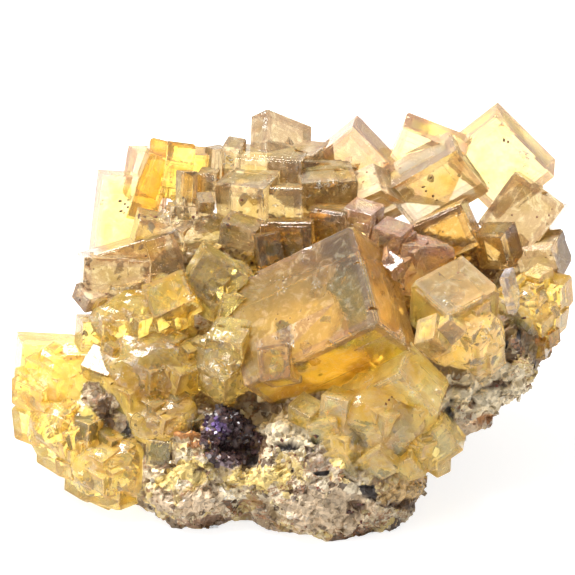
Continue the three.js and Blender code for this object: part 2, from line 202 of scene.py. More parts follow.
# %% The clumps
CLUMPS = {
    "big_front_cube": [
        ((14, -5.5, 22), (104, 206, -37), (18.5, 24.5, 14)),
        ((0.5, -14, 20), (97, 190, -30), (5.5, 5, 7)),
        ((0.5, -5.5, 20), (101, 200, -35), (3, 3.5, 4)),
    ],
    "ridge_block": [
        ((27, 22, -3), (210, -50, 108), (13.5, 11.5, 5)),
        ((15, 15.5, -1), (204, -25, 105), (12.5, 12.5, 5)),
    ],
    "dark_framed_cube": [
        ((27.5, 13, 3), (204, -65, 50), (9.5, 7, 9)),
        ((34, 8, 3), (178, -74, 45), (5.5, 6, 5)),
    ],
    "right_front_cube": [
        ((25.5, -4.5, 13), (138, 28, 268), (9.5, 10.5, 9)),
        ((25.5, -5, 14.5), (222, -36, 92), (4.5, 4, 4)),
        ((23, -8, 15), (200, -40, 80), (4, 4.5, 5)),
        ((29, -9, 12.5), (150, 30, 270), (5, 5, 5)),
        ((31.5, -7.5, 10.5), (160, 50, 285), (4.5, 4, 4)),
    ],
    "small_middle_cubes": [
        ((13.5, 11.5, 5.5), (165, 262, 40), (5, 5, 6)),
        ((18.5, 6.5, 6), (-3, 264, 130), (8.5, 8, 7)),
        ((16.5, 2.5, 9.5), (145, 42, 278), (3, 3, 6)),
        ((16, 5, 9), (223, -42, 95), (4, 3.5, 5)),
        ((18, 8, 7), (160, 262, 40), (5, 5, 5)),
    ],
    "lower_right_cubes": [
        ((17.5, -13.5, 19), (209, -46, 67), (10.5, 9.5, 8)),
        ((24.5, -21.5, 15), (215, -52, 75), (6.5, 5.5, 7)),
        ((8.5, -25, 17), (207, -60, 75), (5, 5.5, 7)),
        ((14.5, -25.5, 18), (208, -50, 70), (6, 5, 7)),
        ((19.5, -27, 15.5), (200, -50, 80), (5, 4.5, 7)),
        ((7.5, -21, 18), (190, -70, 70), (5, 5, 6)),
        ((9.5, -18, 18.5), (165, 262, 40), (4.5, 5, 5)),
        ((3.5, -20.5, 17), (150, 40, 270), (4.5, 4, 4)),
    ],
    "left_block": [
        ((-32, 4.5, 7), (-2, 266, 130), (10.5, 6.5, 7)),
        ((-32, 4.5, 5), (17, 285, 150), (15, 6.5, 8)),
        ((-31.5, -2, 7.5), (16, 250, 130), (6, 3, 4)),
    ],
    "left_yellow_cubes": [
        ((-15, -2, 11), (111, 205, -50), (6, 7, 5)),
        ((-23.5, -5.5, 9), (176, 267, 50), (6, 5, 6)),
        ((-32.5, -5.5, 7), (0, 266, 135), (5, 5, 5)),
        ((-20, -1.5, 8), (150, 30, 270), (5, 5, 5)),
    ],
    "left_olive_cube": [
        ((-13, 5.5, 9), (-29, 238, 100), (8, 7, 6)),
        ((-10, -1, 9), (-10, 256, 120), (4, 6, 5)),
    ],
    "amber_prism": [
        ((-22, 21.5, -1), (-15, 248, 88), (4.5, 13, 4.5)),
        ((-19.5, 19.5, 0.5), (-7, 259, 85), (4.5, 9, 5)),
        ((-18, 21.5, -3), (-4, 264, 105), (5.5, 8, 5)),
    ],
    "pale_left_cube": [
        ((-29.5, 18, -3), (-3, 263, 135), (11, 13.5, 4)),
        ((-24, 21.5, -6), (0, 260, 140), (5, 8, 4)),
    ],
    "small_left_columns": [
        ((-16.5, 18.5, 3), (1, 268, 166), (2.5, 9, 3)),
        ((-14, 13.5, 4), (2, 262, 110), (2.5, 6, 3)),
        ((-18.5, 13, 3.5), (-3, 265, 130), (4.5, 6, 4)),
        ((-23.5, 11, 4), (-12, 254, 104), (5.5, 6, 5)),
    ],
    "centre_mass": [
        ((-4, 15.5, 4), (172, 274, 45), (8.5, 9, 9)),
        ((2, 15.5, 3), (178, 270, 45), (8, 8, 8)),
        ((2, 20, -1), (176, 268, 60), (10.5, 6, 9)),
        ((-8, 21.5, -2), (170, 268, 60), (3, 5, 5)),
        ((-11.5, 22, -2), (160, 11, 266), (2.5, 3, 7)),
        ((-11.5, 18, 0), (175, 268, 60), (3, 6, 5)),
        ((-5, 9, 6), (165, 262, 50), (6, 4, 5)),
    ],
    "druse_block": [
        ((2.5, 16.5, 1), (4, 268, 112), (9, 6, 7)),
        ((2.5, 20, -3), (-4, 262, 150), (9.5, 6, 8)),
    ],
    "dark_middle_cube": [
        ((9, 11.5, 5), (172, 266, 45), (6, 7, 7)),
        ((3.5, 10, 7), (180, 272, 50), (8, 8, 8)),
        ((-5, 8, 8), (12, 280, 140), (4, 6, 5)),
    ],
    "top_tan_cube": [
        ((-3.5, 21.5, -5), (88, -21, 204), (8, 9.5, 4)),
        ((4, 21, -5), (174, 278, 40), (9, 9, 6)),
    ],
    "back_pointed_cube": [((10.5, 25.5, -5), (219, -46, 72), (13, 12, 6))],
    "back_banded_cube": [((18.5, 25.5, -5), (-21, 246, 73), (11, 13, 4.5))],
    "top_right_cube": [((33.5, 27, -5), (218, -44, 82), (12, 14, 6))],
    "right_tan_cube": [
        ((44, 13, -3), (143, 234, 5), (9.5, 10.5, 8)),
        ((42, 6, -1), (185, 292, 60), (8.5, 6, 6)),
    ],
    "right_edge_cubes": [
        ((43.5, -0.5, 2), (170, 275, 50), (6, 5, 5)),
        ((43, -5, 2), (160, 262, 40), (6, 4, 5)),
        ((39.5, -2, 5), (190, 285, 65), (5, 6, 5)),
        ((41, -9, 3), (175, 275, 60), (4.5, 3, 4)),
    ],
    "quartz_sliver": [((35, 1.5, 9), (285, 190, 60), (6, 1.5, 5))],
    "left_tip_cubes": [
        ((-42, -9.5, 3), (-3, 264, 121), (9.5, 7, 9)),
        ((-39, -16.5, 8), (158, 40, 268), (6, 6, 5)),
        ((-31.5, -11, 6), (178, 270, 50), (6, 8, 7)),
        ((-31.5, -22, 9.5), (160, 25, 265), (6.5, 6, 6)),
        ((-26.5, -27, 10), (165, 20, 268), (8.5, 5.5, 9)),
        ((-22.5, -29, 8.5), (170, 275, 55), (4.5, 6, 6)),
        ((-31.5, -31, 6), (150, 40, 265), (5, 4, 5)),
        ((-36.5, -26, 5.5), (150, 30, 268), (5, 4.5, 5)),
        ((-41, -20.5, 4), (160, 40, 275), (4, 4, 6)),
        ((-28.5, -33, 6.5), (155, 35, 270), (5, 5, 3.5)),
    ],
    "middle_left_cubes": [
        ((-22, -10, 11), (150, 30, 270), (6, 5, 6)),
        ((-17, -14, 13), (140, 20, 255), (6, 6, 5.5)),
        ((-25, -17, 12), (155, 35, 272), (6, 5, 5.5)),
        ((-19.5, -20.5, 12.5), (145, 40, 268), (5.5, 5, 5)),
        ((-28.5, -14, 10), (160, 60, 280), (5, 4.5, 6)),
        ((-7.5, -9, 14), (170, 275, 60), (6, 7.5, 6)),
        ((-10, -15, 14), (150, 35, 272), (6, 5, 5)),
        ((-18.5, -24.5, 12.5), (175, 268, 50), (4, 4, 5)),
    ],
    "low_front_cubes": [
        ((-14, -27, 13.5), (150, 30, 270), (4.5, 4, 4)),
        ((-11, -29, 13), (160, 45, 280), (3.5, 3, 3.5)),
        ((-18, -29, 12), (150, 40, 265), (4, 4, 4)),
    ],
}
print("clumps:", len(CLUMPS), "with", sum(len(cubes) for cubes in CLUMPS.values()), "cubes")

# %% [markdown]
# Many clumps sit on a crust of massive fluorite: its middle and half-widths are given the same way, with
# the number of small cubes that the solid carries there. The small cubes come from repeatable chance
# numbers, so they stand where the solid has them.

# %% The crusts
CRUSTS = {
    "right_front_cube": [((28.5, -8, 6), (6.5, 5.5, 6), 4)],
    "small_middle_cubes": [((19, 4, 1), (8, 5, 5), 3)],
    "lower_right_cubes": [
        ((15, -20, 11), (9, 7.5, 7), 4),
        ((8.5, -24, 11), (6, 4.5, 6), 3),
        ((21, -25, 9), (5.5, 4, 6), 2),
    ],
    "left_yellow_cubes": [((-24, -5, 4), (9, 5.5, 5), 4)],
    "left_olive_cube": [((-10, 0, 4), (5.5, 5, 4), 2)],
    "small_left_columns": [((-16, 9, 0), (8, 4, 3), 2)],
    "right_edge_cubes": [((39, -4, -1), (5, 7, 5), 4)],
    "left_tip_cubes": [
        ((-36, -15, 2), (7, 6.5, 5), 2),
        ((-34, -23, 4), (8, 6, 5), 4),
        ((-27.5, -29, 5.5), (7.5, 5.5, 5.5), 4),
    ],
    "middle_left_cubes": [
        ((-22, -13, 7), (8.5, 6.5, 5), 3),
        ((-9.5, -12, 8), (5.5, 5.5, 5), 2),
        ((-20, -21, 8), (6.5, 4.5, 5), 2),
    ],
    "low_front_cubes": [((-14, -28, 9), (5, 3, 3.5), 2)],
}
SMALL_CUBE = (2.8, 4.6)
SMALL_CUBE_BEARINGS = (150, 30, 270)
CHANCE_STEP = 16807
CHANCE_RANGE = 2147483647


def chance_numbers(seed):
    """Repeatable chance numbers between 0 and 1."""
    state = seed
    while True:
        state = state * CHANCE_STEP % CHANCE_RANGE
        yield state / CHANCE_RANGE


def small_cubes(crust, seed, count=None, edges=SMALL_CUBE, rise=1.1):
    """The small cubes that crowd a crust, each as corner, bearings and edges."""
    middle, half, usual = crust
    chance = chance_numbers(seed)
    cubes = []
    for _ in range(usual if count is None else count):
        reach = 0.92 * math.sqrt(next(chance))
        heading = 2 * math.pi * next(chance)
        corner = (
            middle[0] + half[0] * reach * math.cos(heading),
            middle[1] + half[1] * reach * math.sin(heading),
            middle[2] + half[2] * math.sqrt(1 - reach * reach) + rise,
        )
        turn = 14 * (2 * next(chance) - 1)
        bearings = tuple(b + turn + 4 * (2 * next(chance) - 1) for b in SMALL_CUBE_BEARINGS)
        sizes = tuple(edges[0] + (edges[1] - edges[0]) * next(chance) for _ in range(3))
        cubes.append((corner, bearings, sizes))
    return cubes


def seed_of(name, i):
    """The seed of one crust's small cubes, the same as in the solid."""
    return 7 + 97 * len(name) + 31 * i


print("crusts:", sum(len(crusts) for crusts in CRUSTS.values()))

# %% [markdown]
# ## From three bearings to a cube
# Of each edge, the share that lies flat in the picture follows from the angles between the bearings, and
# the rest leans away from the viewer. A cube is then the skin around its corner points. Each corner
# gives three points a little way in, so that every edge has a fine bevel that catches the light, and
# some corners are cleaved off, as fluorite's corners are.

# %% Cube shapes


def edge_directions(bearings):
    """The three square edges whose bearings are seen from the front."""
    seen = [Vector((math.cos(math.radians(b)), math.sin(math.radians(b)))) for b in bearings]
    directions = []
    for i in range(3):
        j, k = (i + 1) % 3, (i + 2) % 3
        flat = 1 / math.sqrt(1 - seen[i].dot(seen[j]) * seen[i].dot(seen[k]) / seen[j].dot(seen[k]))
        away = math.sqrt(max(0, 1 - flat * flat))
        directions.append(ACROSS * seen[i].x * flat + UP * seen[i].y * flat - OUT * away)
    return directions


def box_points(start, directions, low, high, bevel, cleaved=None):
    """Points whose skin is a box from low to high along three directions, with bevelled edges."""
    points = []
    for number in range(8):
        ends = [number >> k & 1 for k in range(3)]
        corner = [high[k] if ends[k] else low[k] for k in range(3)]
        inward = [-1 if ends[k] else 1 for k in range(3)]
        cut = (cleaved or {}).get(number, 0)
        for k in range(3):
            others = [(k + 1) % 3, (k + 2) % 3]
            if cut:
                for j in others:
                    local = list(corner)
                    local[k] += inward[k] * cut
                    local[j] += inward[j] * bevel
                    points.append(local)
            else:
                local = list(corner)
                for j in others:
                    local[j] += inward[j] * bevel
                points.append(local)
    return [start + sum((directions[k] * p[k] for k in range(3)), Vector()) for p in points]


workbench = bpy.data.collections.new("workbench")
scene.collection.children.link(workbench)


def bench_object(shape, name):
    """Turns a finished bmesh into an object on the workbench."""
    mesh = bpy.data.meshes.new(name)
    shape.to_mesh(mesh)
    shape.free()
    block = bpy.data.objects.new(name, mesh)
    workbench.objects.link(block)
    return block


def to_scene(piece, name):
    """Names a finished piece and moves it from the workbench to the scene."""
    piece.name = piece.data.name = name
    workbench.objects.unlink(piece)
    scene.collection.objects.link(piece)


def skin_around(points):
    """A closed mesh object around points: their convex hull."""
    shape = bmesh.new()
    for point in points:
        shape.verts.new(point)
    bmesh.ops.convex_hull(shape, input=shape.verts)
    bmesh.ops.delete(shape, geom=[v for v in shape.verts if not v.link_faces], context="VERTS")
    bmesh.ops.recalc_face_normals(shape, faces=shape.faces)
    return bench_object(shape, "block")


sample = skin_around(box_points(Vector(), (ACROSS, UP, OUT), (0, 0, 0), (5, 5, 5), 0.1))
print("a cube's skin has", len(sample.data.polygons), "faces")

# %% [markdown]
# Growth steps are thin slabs that stand a tenth of a millimetre or more out of a face. They could be a
# bump in the material, but then no edge would catch the light and the outline would stay too clean, so
# they are real slabs, joined to the cube. Small bites along the edges take away the last of the
# machined look.

# %% Growth steps and bites
STEP_RISE = 0.35
STEP_SHARE = 0.68
STEP_MIN_EDGE = 6


def cube_blocks(cube, chance, grow=0):
    """The box of one cube with its growth steps, as mesh objects to join."""
    corner, bearings, edges = cube
    start, directions = display_point(*corner), edge_directions(bearings)
    stepped = min(edges) >= STEP_MIN_EDGE
    if grow:
        room = grow + (STEP_RISE if stepped else 0.15)
        return [skin_around(box_points(start, directions, [-room] * 3, [e + room for e in edges], 0.01))]
    bevel = 0.05 + 0.006 * min(edges)
    cleaved = {n: (0.05 + 0.06 * next(chance)) * min(edges) for n in range(1, 8) if next(chance) < 0.45}
    blocks = [skin_around(box_points(start, directions, (0, 0, 0), edges, bevel, cleaved))]
    if stepped:
        top = [e * STEP_SHARE - STEP_RISE for e in edges]
        blocks.append(skin_around(box_points(start, directions, [-STEP_RISE] * 3, top, bevel)))
    for _ in range(2 + int(min(edges) / 2)):
        k = int(3 * next(chance))
        low, high = [], []
        for j in range(3):
            width = edges[j] * (0.25 + 0.6 * next(chance))
            first = (edges[j] - width) * (0 if next(chance) < 0.4 else next(chance))
            low.append(first)
            high.append(first + width)
        rise = 0.04 + 0.01 * min(edges) * next(chance)
        low[k] = -rise - (STEP_RISE if stepped and next(chance) < 0.5 else 0)
        high[k] = edges[k] * 0.5
        blocks.append(skin_around(box_points(start, directions, low, high, bevel * 0.6)))
    return blocks


def edge_bites(cube, chance, count):
    """Small rough lumps along the three edges that leave the near corner, to be cut away."""
    corner, bearings, edges = cube
    start, directions = display_point(*corner), edge_directions(bearings)
    bites = []
    for _ in range(count):
        k = int(3 * next(chance))
        place = start + directions[k] * edges[k] * next(chance)
        for j in range(3):
            if j != k and next(chance) < 0.3:
                place += directions[j] * edges[j]
        size = (0.02 + 0.035 * next(chance)) * min(edges) + 0.08
        points = [
            place + Vector([(2 * next(chance) - 1) * size * (2.2 if j == 0 else 1) for j in range(3)])
            for _ in range(9)
        ]
        bites.append(skin_around(points))
    return bites


print("growth steps stand", STEP_RISE, "mm out of the larger cubes")

# %% [markdown]
# A crust is a ball pressed to its half-widths and pushed in and out by a few crossing waves, the same
# ones as in the solid. Sixteen planes then shave it into the large smooth facets of intergrown crystals.

# %% Crusts
ROUGHNESS = 1.1


def waves(p):
    """Uneven heights over the stone, in millimetres."""
    wide = math.sin(0.42 * p.x + 1.3) * math.sin(0.47 * p.y + 0.4) * math.sin(0.45 * p.z + 2.1)
    close = math.sin(1.1 * p.x + 0.7 * p.y) * math.sin(1.2 * p.z - 0.6 * p.y + 1)
    return ROUGHNESS * (wide + 0.5 * close)


TO_BOX_MIDDLE = Vector((-0.9, 2, 0))
FACETS = 16
FACET_DEPTH = 0.17


def crust_block(crust, grow=0, detail=4):
    """A lump of massive fluorite with large flat facets."""
    middle, half, _ = crust
    chance = chance_numbers(int(101 + abs(middle[0]) * 10 + abs(middle[1]) * 100))
    planes = []
    for _ in range(FACETS):
        way = Vector([2 * next(chance) - 1 for _ in range(3)]).normalized()
        planes.append((way, 1 - FACET_DEPTH * next(chance)))
    shape = bmesh.new()
    bmesh.ops.create_icosphere(shape, subdivisions=detail, radius=1)
    for vertex in shape.verts:
        reach = min([1] + [height / vertex.co.dot(way) for way, height in planes if vertex.co.dot(way) > 0.3])
        offsets = [vertex.co[k] * (half[k] * 0.96 * reach + grow) for k in range(3)]
        outward = (display_point(*offsets) - DISPLAY_MIDDLE).normalized()
        surface = display_point(*(middle[k] + offsets[k] for k in range(3)))
        ripple = 0 if grow else noise.noise(surface * 0.8) * 0.12
        vertex.co = surface + outward * (waves(surface - TO_BOX_MIDDLE) * 0.7 + ripple)
    return bench_object(shape, "crust")


print("crust waves are up to", ROUGHNESS * 1.5, "mm high")

# %% [markdown]
# ## Growing the clumps together
# Joining by Boolean modifiers keeps every flat face flat and drops what lies inside, which matters in
# clear stone: a face left inside would show. The Manifold solver is quick, and it needs closed meshes,
# which all the blocks are. Each clump keeps clear of the clumps before it by a hair.

# %% Join and cut
HAIR = 0.06


def combine(target, *steps):
    """Joins to the target, or cuts from it, each list of blocks in turn, and bakes the result into the
    target's mesh.
    """
    for operation, blocks in steps:
        for block in blocks:
            step = target.modifiers.new("step", "BOOLEAN")
            step.operation = operation
            step.solver = "MANIFOLD"
            step.object = block
    seen = target.evaluated_get(bpy.context.evaluated_depsgraph_get())
    whole = bpy.data.meshes.new_from_object(seen)
    whole.materials.clear()
    target.modifiers.clear()
    target.data = whole
    return target


def keep_largest(mesh):
    """Drops loose chips: only the piece with most faces stays."""
    shape = bmesh.new()
    shape.from_mesh(mesh)
    left = set(shape.verts)
    pieces = []
    while left:
        reached = [left.pop()]
        piece = set(reached)
        while reached:
            for edge in reached.pop().link_edges:
                for vertex in edge.verts:
                    if vertex in left:
                        left.discard(vertex)
                        piece.add(vertex)
                        reached.append(vertex)
        pieces.append(piece)
    pieces.sort(key=len)
    loose = [v for piece in pieces[:-1] for v in piece]
    bmesh.ops.delete(shape, geom=loose, context="VERTS")
    shape.to_mesh(mesh)
    shape.free()


GROUND_HALF = 100


def clear_workbench(*kept):
    """Removes every block from the workbench but those named."""
    for block in list(workbench.objects):
        if block not in kept:
            bpy.data.objects.remove(block)


def ground_block(height):
    """Everything below a height, to be cut away."""
    start = Vector((-GROUND_HALF, -GROUND_HALF, height - GROUND_HALF))
    upright = (ACROSS, Vector((0, 1, 0)), Vector((0, 0, 1)))
    size = (2 * GROUND_HALF, 2 * GROUND_HALF, GROUND_HALF)
    return skin_around(box_points(start, upright, (0, 0, 0), size, 0.01))


CLUMP_CLEARANCE = 0.6
TINY_RISE = 0.4
TINY_BEVEL = 0.05
EXTRA_CUBES = {
    "left_tip_cubes": (5, (1.8, 3.6)),
    "middle_left_cubes": (9, (1.5, 3.4)),
    "right_edge_cubes": (14, (1.3, 2.8)),
    "right_front_cube": (6, (2, 3.8)),
    "small_middle_cubes": (8, (1.2, 2.6)),
    "left_yellow_cubes": (5, (2, 3.6)),
    "low_front_cubes": (8, (1.3, 2.6)),
}
clumps, cubes_of = {}, {}
taken = None
for name, cubes in CLUMPS.items():
    chance = chance_numbers(len(name) * 53 + 11)
    crusts = CRUSTS.get(name, [])
    small = [cube for i, crust in enumerate(crusts) for cube in small_cubes(crust, seed_of(name, i))]
    extra, sizes = EXTRA_CUBES.get(name, (3, (2, 4)))
    tiny = []
    for i, crust in enumerate(crusts):
        tiny += small_cubes(crust, seed_of(name, i) + 5, extra, sizes, TINY_RISE)
    cubes_of[name] = cubes + small + tiny
    blocks = [block for cube in cubes + small for block in cube_blocks(cube, chance)]
    for corner, bearings, edges in tiny:
        points = box_points(display_point(*corner), edge_directions(bearings), (0, 0, 0), edges, TINY_BEVEL)
        blocks.append(skin_around(points))
    blocks += [crust_block(crust) for crust in crusts]
    bites = [bite for cube in cubes for bite in edge_bites(cube, chance, 2 + int(max(cube[2]) / 2))]
    before = [taken] if taken else []
    cuts = bites + before + [ground_block(CLUMP_CLEARANCE)]
    clump = combine(blocks[0], ("UNION", blocks[1:]), ("DIFFERENCE", cuts))
    keep_largest(clump.data)
    to_scene(clump, name + "_crystals")
    clumps[name] = clump
    wider = [block for cube in cubes + small for block in cube_blocks(cube, chance, HAIR)]
    wider += [crust_block(crust, HAIR, 3) for crust in crusts]
    room = combine(wider[0], ("UNION", wider[1:]))
    taken = combine(taken, ("UNION", [room])) if taken else room
    clear_workbench(taken)
clear_workbench()
print("crystal faces:", {name: len(clump.data.polygons) for name, clump in clumps.items()})

# %% [markdown]
# ## Where on its cube a face lies
# The tan and lilac zone follows each cube's own edges. The material needs to know how far a point is
# from them, and that is stored on the mesh: for every face, the cube it belongs to is found, and its
# corners get their distances to both ends of the cube along each edge. These grow evenly over a flat
# face, so a shader can take the least of them and draw a sharp band, also on a face of two triangles.

# %% Distances to the cube's edges
FAR = 99
FACE_REACH = 1.2
SQUARE_ON = 0.95


def store_edge_distances(clump, cubes):
    """Two vectors on each face corner: distance from the near corner and to the far end, in mm."""
    mesh = clump.data
    count = len(mesh.polygons)
    normals = np.array([p.normal for p in mesh.polygons])
    centres = np.array([p.center for p in mesh.polygons])
    best = np.full(count, 1e9)
    chosen = np.zeros(count, int)
    frames = []
    for i, (corner, bearings, edges) in enumerate(cubes):
        start = np.array(display_point(*corner))
        ways = np.array([list(d) for d in edge_directions(bearings)]).T
        frames.append((start, ways, np.array(edges, float)))
        local = (centres - start) @ ways
        outside = np.maximum(np.maximum(-local, local - edges), 0)
        inside = np.minimum(local, edges - local).min(1)
        away = np.where(outside.any(1), np.linalg.norm(outside, axis=1), inside)
        aligned = np.abs(normals @ ways).max(1)
        score = np.abs(away) + 3 * (1 - aligned)
        better = score < best
        best[better] = score[better]
        chosen[better] = i
    near = np.full((len(mesh.loops), 3), float(FAR), np.float32)
    far = near.copy()
    shade = np.zeros((len(mesh.loops), 4), np.float32)
    shade[:, 3] = 1
    places = np.array([v.co for v in mesh.vertices])
    for polygon in mesh.polygons:
        i = chosen[polygon.index]
        corners = list(polygon.loop_indices)
        shade[corners, 0] = (i * 0.618) % 1
        if best[polygon.index] > FACE_REACH:
            continue
        start, ways, edges = frames[i]
        local = (places[list(polygon.vertices)] - start) @ ways
        flat = np.abs(normals[polygon.index] @ ways)
        normal_axis = int(flat.argmax())
        near[corners] = local
        far[corners] = edges - local
        if flat[normal_axis] > SQUARE_ON:
            near[corners, normal_axis] = FAR
            far[corners, normal_axis] = FAR
        # The face's axis also chooses the painted light and shade of each face in some finishes.
        shade[corners, 1] = (normal_axis + 1) / 4
    for label, values in (("near", near), ("far", far)):
        mesh.attributes.new(label, "FLOAT_VECTOR", "CORNER").data.foreach_set("vector", values.ravel())
    mesh.attributes.new("cube", "FLOAT_COLOR", "CORNER").data.foreach_set("color", shade.ravel())


for name, clump in clumps.items():
    store_edge_distances(clump, cubes_of[name])
print("edge distances stored on", len(clumps), "clumps")

# %% [markdown]
# ## Cleavage flaws
# Fluorite splits along planes that cut off a cube's corners, and the fine cracks inside show as silvery
# flakes, because light is thrown back where glass ends at air. They could be painted white, but a real
# crack flashes from one angle only. So each flaw is a thin closed gap inside the stone: a flat lens
# whose skin faces inward, turned along a true cleavage plane of its cube.

# %% Flaws inside the cubes
FLAW_THICKNESS = 0.03
FLAW_DEPTH = 0.35
SMALLEST_FLAWED = 2.5
CLEAVAGE = [Vector(v).normalized() for v in ((1, 1, 1), (-1, 1, 1), (1, -1, 1), (1, 1, -1))]


def flaw(shape, centre, normal, radius, chance):
    """Adds one thin gap with an uneven outline to a bmesh, its skin facing inward."""
    side = normal.orthogonal().normalized()
    other = normal.cross(side)
    sides = 7 + int(4 * next(chance))
    rim = []
    for i in range(sides):
        reach = radius * (0.45 + 0.55 * next(chance))
        angle = 2 * math.pi * (i + 0.5 * next(chance)) / sides
        point = centre + (side * math.cos(angle) + other * math.sin(angle)) * reach
        rim.append(shape.verts.new(point + normal * (next(chance) - 0.5) * 0.08 * radius))
    for direction in (1, -1):
        bulge = centre + normal * (0.06 * radius * (next(chance) - 0.5) + direction * FLAW_THICKNESS)
        middle = shape.verts.new(bulge)
        for i in range(sides):
            ends = (rim[i], rim[(i + 1) % sides])
            shape.faces.new((middle, ends[1], ends[0]) if direction > 0 else (middle, ends[0], ends[1]))


def search_tree(points, mesh):
    """Finds the nearest place on a mesh, or where a line meets it first."""
    return BVHTree.FromPolygons(points, [tuple(f.vertices) for f in mesh.polygons])


FLAWS_PER_CUBE = {
    "big_front_cube": 22,
    "druse_block": 14,
    "centre_mass": 6,
    "left_block": 6,
    "left_olive_cube": 10,
    "right_front_cube": 6,
    "lower_right_cubes": 6,
    "left_yellow_cubes": 8,
    "pale_left_cube": 0,
    "amber_prism": 0,
    "top_right_cube": 0,
    "right_tan_cube": 1,
    "back_banded_cube": 0,
    "back_pointed_cube": 0,
    "top_tan_cube": 0,
}
flaw_count = 0
stone_trees, stone_boxes = {}, {}
for name, clump in clumps.items():
    chance = chance_numbers(len(name) * 71 + 5)
    tree = search_tree([v.co for v in clump.data.vertices], clump.data)
    stone_trees[name] = tree
    corners = np.array([list(v.co) for v in clump.data.vertices])
    stone_boxes[name] = (corners.min(0), corners.max(0))
    shape = bmesh.new()
    for corner, bearings, edges in cubes_of[name]:
        if min(edges) < SMALLEST_FLAWED:
            continue
        start, ways = display_point(*corner), edge_directions(bearings)
        for _ in range(FLAWS_PER_CUBE.get(name, 3) if min(edges) > 4 else 1):
            share = [0.06 + 0.8 * next(chance) for _ in range(3)]
            centre = start + sum((ways[k] * edges[k] * share[k] for k in range(3)), Vector())
            plane = CLEAVAGE[int(4 * next(chance))]
            normal = sum((ways[k] * plane[k] for k in range(3)), Vector()).normalized()
            nearest, surface_normal, _, away = tree.find_nearest(centre)
            if (centre - nearest).dot(surface_normal) > 0 or away < FLAW_DEPTH:
                continue
            flaw(shape, centre, normal, min(away * 0.95, 0.4 + 1.5 * next(chance) ** 2), chance)
            flaw_count += 1
    flaw_faces = len(shape.faces)
    shape.from_mesh(clump.data)
    shape.faces.ensure_lookup_table()
    for label in ("near", "far"):
        layer = shape.loops.layers.float_vector[label]
        for face in shape.faces[:flaw_faces]:
            for loop in face.loops:
                loop[layer] = (FAR, FAR, FAR)
    shape.to_mesh(clump.data)
    shape.free()
print("flaws:", flaw_count)

# %% [markdown]
# ## Fluorite
# Real fluorite bends light little (index 1.434) and takes its yellow from its depth, so the glass has a
# low index and a plain volume absorption: thin corners stay pale and thick cubes turn amber. A small
# share of the light is scattered instead of let through, because the stone is full of fine veils. The
# outer zone, growth lines, frosted patches and a pale painted highlight along the edges are drawn from
# the stored distances to the edges. Some finishes also paint each face of a cube lighter or darker, as
# painted light and shade.

# %% A small kit for material nodes


class Paint:
    """Adds nodes to a material in short lines."""

    def __init__(self, name):
        self.material = bpy.data.materials.new(name)
        self.material.use_nodes = True
        self.tree = self.material.node_tree
        self.shader = self.tree.nodes["Principled BSDF"]
        self.output = self.tree.nodes["Material Output"]
        self.place = self.add("ShaderNodeTexCoord").outputs["Object"]

    def add(self, kind, settings=None, **inputs):
        node = self.tree.nodes.new(kind)
        for label, value in (settings or {}).items():
            setattr(node, label, value)
        for label, value in inputs.items():
            self.put(node.inputs[label.replace("_", " ")], value)
        return node

    def put(self, socket, value):
        if isinstance(value, bpy.types.NodeSocket):
            self.tree.links.new(value, socket)
        else:
            socket.default_value = value

    def math(self, operation, first, second=0.0):
        node = self.add("ShaderNodeMath", {"operation": operation})
        self.put(node.inputs[0], first)
        self.put(node.inputs[1], second)
        return node.outputs["Value"]

    def noise(self, per_mm, detail=3.0, roughness=0.55, distortion=0.0, vector=None):
        node = self.add("ShaderNodeTexNoise", Scale=per_mm / MM, Detail=detail, Roughness=roughness)
        node.inputs["Distortion"].default_value = distortion
        self.put(node.inputs["Vector"], vector or self.place)
        return node.outputs["Fac"]

    def cells(self, per_mm, vector=None):
        node = self.add("ShaderNodeTexVoronoi", Scale=per_mm / MM)
        self.put(node.inputs["Vector"], vector or self.place)
        return self.add("ShaderNodeSeparateColor", Color=node.outputs["Color"]).outputs["Red"]

    def moved(self, noise_per_mm, mm):
        """The object's own coordinates, pushed about by a noise."""
        node = self.add("ShaderNodeTexNoise", Scale=noise_per_mm / MM, Detail=3.0)
        self.put(node.inputs["Vector"], self.place)
        middle = self.add("ShaderNodeVectorMath", {"operation": "SUBTRACT"})
        self.put(middle.inputs[0], node.outputs["Color"])
        middle.inputs[1].default_value = (0.5, 0.5, 0.5)
        push = self.add("ShaderNodeVectorMath", {"operation": "MULTIPLY_ADD"})
        self.put(push.inputs[0], middle.outputs["Vector"])
        push.inputs[1].default_value = (mm * MM, mm * MM, mm * MM)
        self.put(push.inputs[2], self.place)
        return push.outputs["Vector"]

    def ramp(self, value, low, high, start=0.0, end=1.0, smooth=True):
        node = self.add("ShaderNodeMapRange", {"interpolation_type": "SMOOTHSTEP" if smooth else "LINEAR"})
        labels = ("Value", "From Min", "From Max", "To Min", "To Max")
        for label, number in zip(labels, (value, low, high, start, end)):
            self.put(node.inputs[label], number)
        return node.outputs["Result"]

    def mix(self, share, first, second, blend="MIX"):
        node = self.add("ShaderNodeMix", {"data_type": "RGBA", "blend_type": blend})
        self.put(node.inputs["Factor"], share)
        for socket, value in zip([s for s in node.inputs if s.type == "RGBA"], (first, second)):
            self.put(socket, value if isinstance(value, bpy.types.NodeSocket) else (*value, 1))
        return next(s for s in node.outputs if s.type == "RGBA")

    def bump(self, height, mm, normal=None):
        node = self.add("ShaderNodeBump", Strength=1.0, Distance=mm * MM, Height=height)
        if normal:
            self.put(node.inputs["Normal"], normal)
        return node.outputs["Normal"]

    def surface(self, colour, roughness):
        self.put(self.shader.inputs["Base Color"], colour)
        self.put(self.shader.inputs["Roughness"], roughness)

    def attribute(self, name):
        return self.add("ShaderNodeAttribute", {"attribute_name": name}).outputs["Vector"]

    def least(self, vector):
        split = self.add("ShaderNodeSeparateXYZ", Vector=vector)
        two = self.math("MINIMUM", split.outputs["X"], split.outputs["Y"])
        return self.math("MINIMUM", two, split.outputs["Z"])


print("paint kit ready")

# %% Fluorite finishes
FLUORITE_IOR = 1.434


